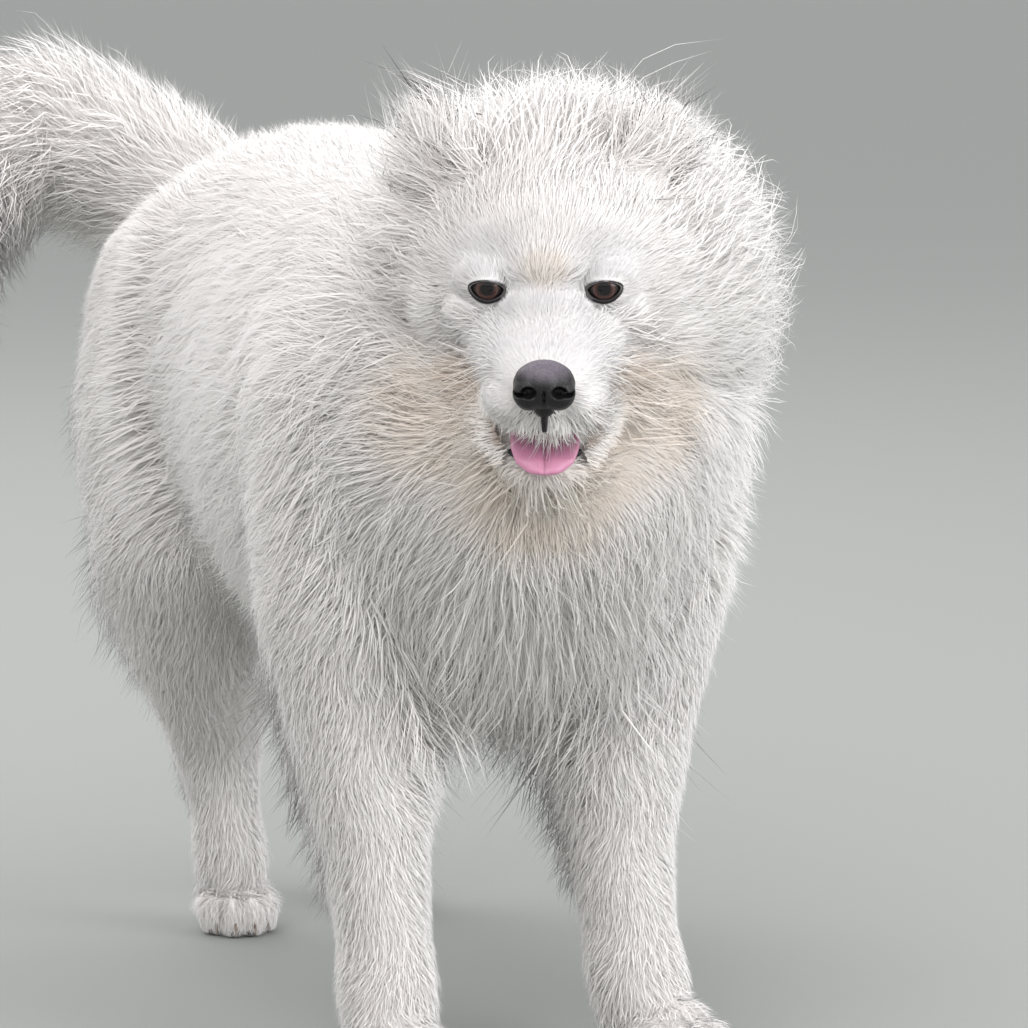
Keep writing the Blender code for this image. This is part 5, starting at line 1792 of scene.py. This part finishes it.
def eye_finish():
    """Dark pupil, red-brown iris with fine rays, dark rim and a wet clear surface."""
    made, tree, shader = finish(
        "eye_gloss", 0.10, Coat_Weight=0.6, Coat_Roughness=0.02, Specular_IOR_Level=0.15
    )
    place = head_place(tree)
    middle = put(
        tree, "ShaderNodeVectorMath", {0: place, 1: (EYE_SPREAD, EYE_DEPTH, 0.0)}, operation="SUBTRACT"
    ).outputs["Vector"]
    gaze = Vector((0.0, -math.cos(GAZE_UP), math.sin(GAZE_UP)))
    off = put(
        tree, "ShaderNodeVectorMath", {0: middle, 1: gaze}, operation="CROSS_PRODUCT"
    ).outputs["Vector"]
    from_axis = put(tree, "ShaderNodeVectorMath", {0: off}, operation="LENGTH").outputs["Value"]
    around = put(tree, "ShaderNodeVectorMath", {0: off}, operation="NORMALIZE").outputs["Vector"]
    rays = put(tree, "ShaderNodeTexNoise", {"Vector": around, "Scale": 9.0, "Detail": 4.0}).outputs["Fac"]
    rays = spread(tree, rays, 0.35, 0.65)
    iris = blended(tree, rays, (0.022, 0.010, 0.009, 1), (0.070, 0.030, 0.024, 1))

    for inner, outer, ring in EYE_RINGS:
        iris = blended(tree, spread(tree, from_axis, inner, outer, soft=True), iris, ring)
    pupil = spread(tree, from_axis, *PUPIL_EDGE, soft=True)
    colour = blended(tree, pupil, PUPIL_COLOUR, iris)
    tree.links.new(colour, shader.inputs["Base Color"])
    return made


def nose_finish():
    """Pebbled black leather, black round the nostrils, with a painted grey-purple sheen over its upper
    side.
    """
    made, tree, shader = finish(
        "nose_leather", 0.42, Coat_Weight=0.12, Coat_Roughness=0.30, Specular_IOR_Level=0.35
    )
    place = head_place(tree)
    cells = put(tree, "ShaderNodeTexVoronoi", {"Vector": place, "Scale": 950.0}, feature="F1")
    height = spread(tree, cells.outputs["Distance"], 0.0, 0.7, 1.0, 0.0)
    # painted sheen: the upper side of the nose lighter grey-purple, as light falling on it would show;
    # below it stays black
    painted_sheen = spot(tree, place, (0.0, -0.080, -0.0185), (0.022, 0.020, 0.0125), 1.0, 0.30)
    colour = blended(tree, painted_sheen, (0.004, 0.0035, 0.004, 1), (0.150, 0.130, 0.160, 1))
    wet = put(tree, "ShaderNodeTexNoise", {"Vector": place, "Scale": 180.0, "Detail": 3.0}).outputs["Fac"]
    rough = spread(tree, wet, 0.3, 0.7, 0.30, 0.55)
    shade = spread(tree, height, 0.0, 1.0, 0.70, 1.10)
    colour = blended(tree, 1.0, colour, shade, "MULTIPLY")
    tree.links.new(colour, shader.inputs["Base Color"])
    tree.links.new(rough, shader.inputs["Roughness"])
    add_bump(tree, shader, height, 0.55, 0.0004)
    return made


def tongue_finish(grain):
    """Moist pink flesh, with painted shade making it deeper where it runs in towards the mouth and along
    its groove.
    """
    made, tree, shader = finish(
        "tongue_flesh",
        0.38,
        Coat_Weight=0.3,
        Coat_Roughness=0.2,
        Subsurface_Weight=0.25,
        Subsurface_Radius=(1.0, 0.35, 0.30),
        Subsurface_Scale=0.003,
    )
    place = head_place(tree)
    fine = add_group(tree, grain, Scale=1500.0, Low=0.90, High=1.04)
    # painted shade: the tongue deeper and darker where it runs in under the upper lip towards the mouth
    inner = spot(tree, place, (0.0, -0.030, -0.062), (0.045, 0.040, 0.017), 1.0, 0.5)
    colour = blended(tree, inner, (0.62, 0.26, 0.40, 1), (0.34, 0.11, 0.21, 1))
    # painted shade: darker along the tongue's middle groove
    groove = spot(tree, place, (0.0, -0.045, -0.080), (0.0013, 0.040, 0.040), 0.75, 0.1)
    colour = blended(tree, groove, colour, (0.28, 0.08, 0.13, 1))
    colour = blended(tree, 1.0, colour, fine.outputs["Shade"], "MULTIPLY")
    tree.links.new(colour, shader.inputs["Base Color"])
    add_bump(tree, shader, fine.outputs["Height"], 0.5, 0.0005)
    return made


def plain_finish(name, grain, dark, light, roughness, scale, **sockets):
    """A two-tone finish with fine relief."""
    made, tree, shader = finish(name, roughness, **sockets)
    fine = add_group(tree, grain, Scale=scale, Low=0.0, High=1.0)
    colour = blended(tree, fine.outputs["Shade"], dark, light)
    tree.links.new(colour, shader.inputs["Base Color"])
    add_bump(tree, shader, fine.outputs["Height"], 0.4, 0.0004)
    return made


def paint(thing, *finishes):
    thing.data.materials.clear()
    for made in finishes:
        thing.data.materials.append(made)


def line_mouth(thing):
    """Gives the skin's faces inside the mouth the lining's finish."""
    count = len(thing.data.polygons)
    middles = np.zeros(count * 3)
    thing.data.polygons.foreach_get("center", middles)
    inside = in_mouth(in_head(middles.reshape(-1, 3)), 0.0006)
    thing.data.polygons.foreach_set("material_index", inside.astype(np.int32))


# The whole dog

form = make_skin()
unwrap(form)
skin = measured(form, tips_tree())
coat = make_coat(skin)
coat.append(make_lip_hairs(form, skin))
eyeballs = [make_eyeball("eyeball_right", -1), make_eyeball("eyeball_left", 1)]
eyelids = make_eyelids()
nose = make_nose()
fold = make_philtrum()
lips = make_lips()
tongue = make_tongue()
whiskers = make_whiskers()
pads = make_pads()
claws = make_claws()

tints_and_shade = coat_tints_and_shade_group()
grain = fine_grain_group()
fur = fur_finish(tints_and_shade)
black_skin = plain_finish(
    "black_skin",
    grain,
    dark=(0.006, 0.005, 0.006, 1),
    light=(0.022, 0.018, 0.019, 1),
    roughness=0.45,
    scale=700.0,
    Specular_IOR_Level=0.25,
)
PLAIN_FINISHES = (
    # piece, finish, dark, light, roughness, scale
    (whiskers, "whisker", (0.80, 0.74, 0.66, 1), (0.95, 0.93, 0.90, 1), 0.35, 300.0),
    (pads, "pad_leather", (0.020, 0.018, 0.019, 1), (0.075, 0.062, 0.062, 1), 0.60, 900.0),
    (claws, "claw_horn", (0.10, 0.075, 0.060, 1), (0.30, 0.25, 0.21, 1), 0.35, 400.0),
)
paint(form, skin_finish(tints_and_shade, grain), lining_finish(grain))
line_mouth(form)
for piece in coat:
    paint(piece, fur)
eye_gloss = eye_finish()
for eyeball in eyeballs:
    paint(eyeball, eye_gloss)
for piece in (eyelids, lips, fold):
    paint(piece, black_skin)
paint(nose, nose_finish())
paint(tongue, tongue_finish(grain))
for piece, name, dark, light, roughness, scale in PLAIN_FINISHES:
    paint(piece, plain_finish(name, grain, dark, light, roughness, scale))

SLOTS = {
    "eye": eyeballs,
    "nose_leather": [nose, eyelids, lips, fold, pads, claws],
    "tongue": [tongue],
    "coat": [form, whiskers, *coat],
}
for slot, pieces in SLOTS.items():
    for piece in pieces:
        piece.data.transform(Matrix.Translation(SET_DOWN))
        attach(piece, "root")
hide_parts(*[name for name in frame["nodes"] if name.split("_")[0] not in ("eye", "nose", "tongue")])
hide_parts("eye_right")
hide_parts("eye_left")
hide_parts("nose")
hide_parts("tongue")


# The floor, the light and the camera


FLOOR_SIZE = 60.0
FLOOR_COLOUR = (0.30, 0.315, 0.300, 1.0)


def make_floor():
    bm = bmesh.new()
    bmesh.ops.create_grid(bm, x_segments=1, y_segments=1, size=FLOOR_SIZE)
    floor = object_from("floor", bm)
    made, _, shader = finish("floor_paint", 0.9)
    shader.inputs["Base Color"].default_value = FLOOR_COLOUR
    paint(floor, made)


LIGHTS = (
    # name, place, size, power, colour
    ("key", (-2.2, -3.0, 3.4), 3.6, 100.0, (1.0, 0.985, 0.97)),
    ("fill", (2.8, -3.0, 1.8), 3.4, 125.0, (0.985, 0.985, 1.0)),
    ("back", (-0.6, 2.6, 3.2), 3.2, 72.0, (1.0, 0.99, 0.98)),
)


LIGHTS_AIM = Vector((0.0, 0.0, 0.35))
ROOM_COLOUR = (0.90, 0.89, 0.91, 1.0)
ROOM_STRENGTH = 1.10


def make_lights():
    for name, place, size, power, colour in LIGHTS:
        light = bpy.data.lights.new(name, "AREA")
        light.size = size
        light.energy = power
        light.color = colour
        lamp = bpy.data.objects.new(name, light)
        lamp.location = place
        aim = LIGHTS_AIM - Vector(place)
        lamp.rotation_euler = aim.to_track_quat("-Z", "Y").to_euler()
        bpy.context.scene.collection.objects.link(lamp)
    world = bpy.data.worlds.new("studio")
    world.use_nodes = True
    room = world.node_tree.nodes["Background"]
    room.inputs["Color"].default_value = ROOM_COLOUR
    room.inputs["Strength"].default_value = ROOM_STRENGTH
    bpy.context.scene.world = world
    bpy.context.scene.view_settings.view_transform = "Standard"


def make_camera():
    data = bpy.data.cameras.new("camera")
    data.lens = CAMERA_LENS
    data.sensor_width = SENSOR
    camera = bpy.data.objects.new("camera", data)
    bpy.context.scene.collection.objects.link(camera)
    camera.location = CAMERA_PLACE + SET_DOWN
    level = math.cos(CAMERA_DIP)
    aside = -math.sin(CAMERA_TURN) * level
    aim = Vector((aside, math.cos(CAMERA_TURN) * level, -math.sin(CAMERA_DIP)))
    camera.rotation_euler = aim.to_track_quat("-Z", "Y").to_euler()
    bpy.context.scene.camera = camera


make_floor()
make_lights()
make_camera()
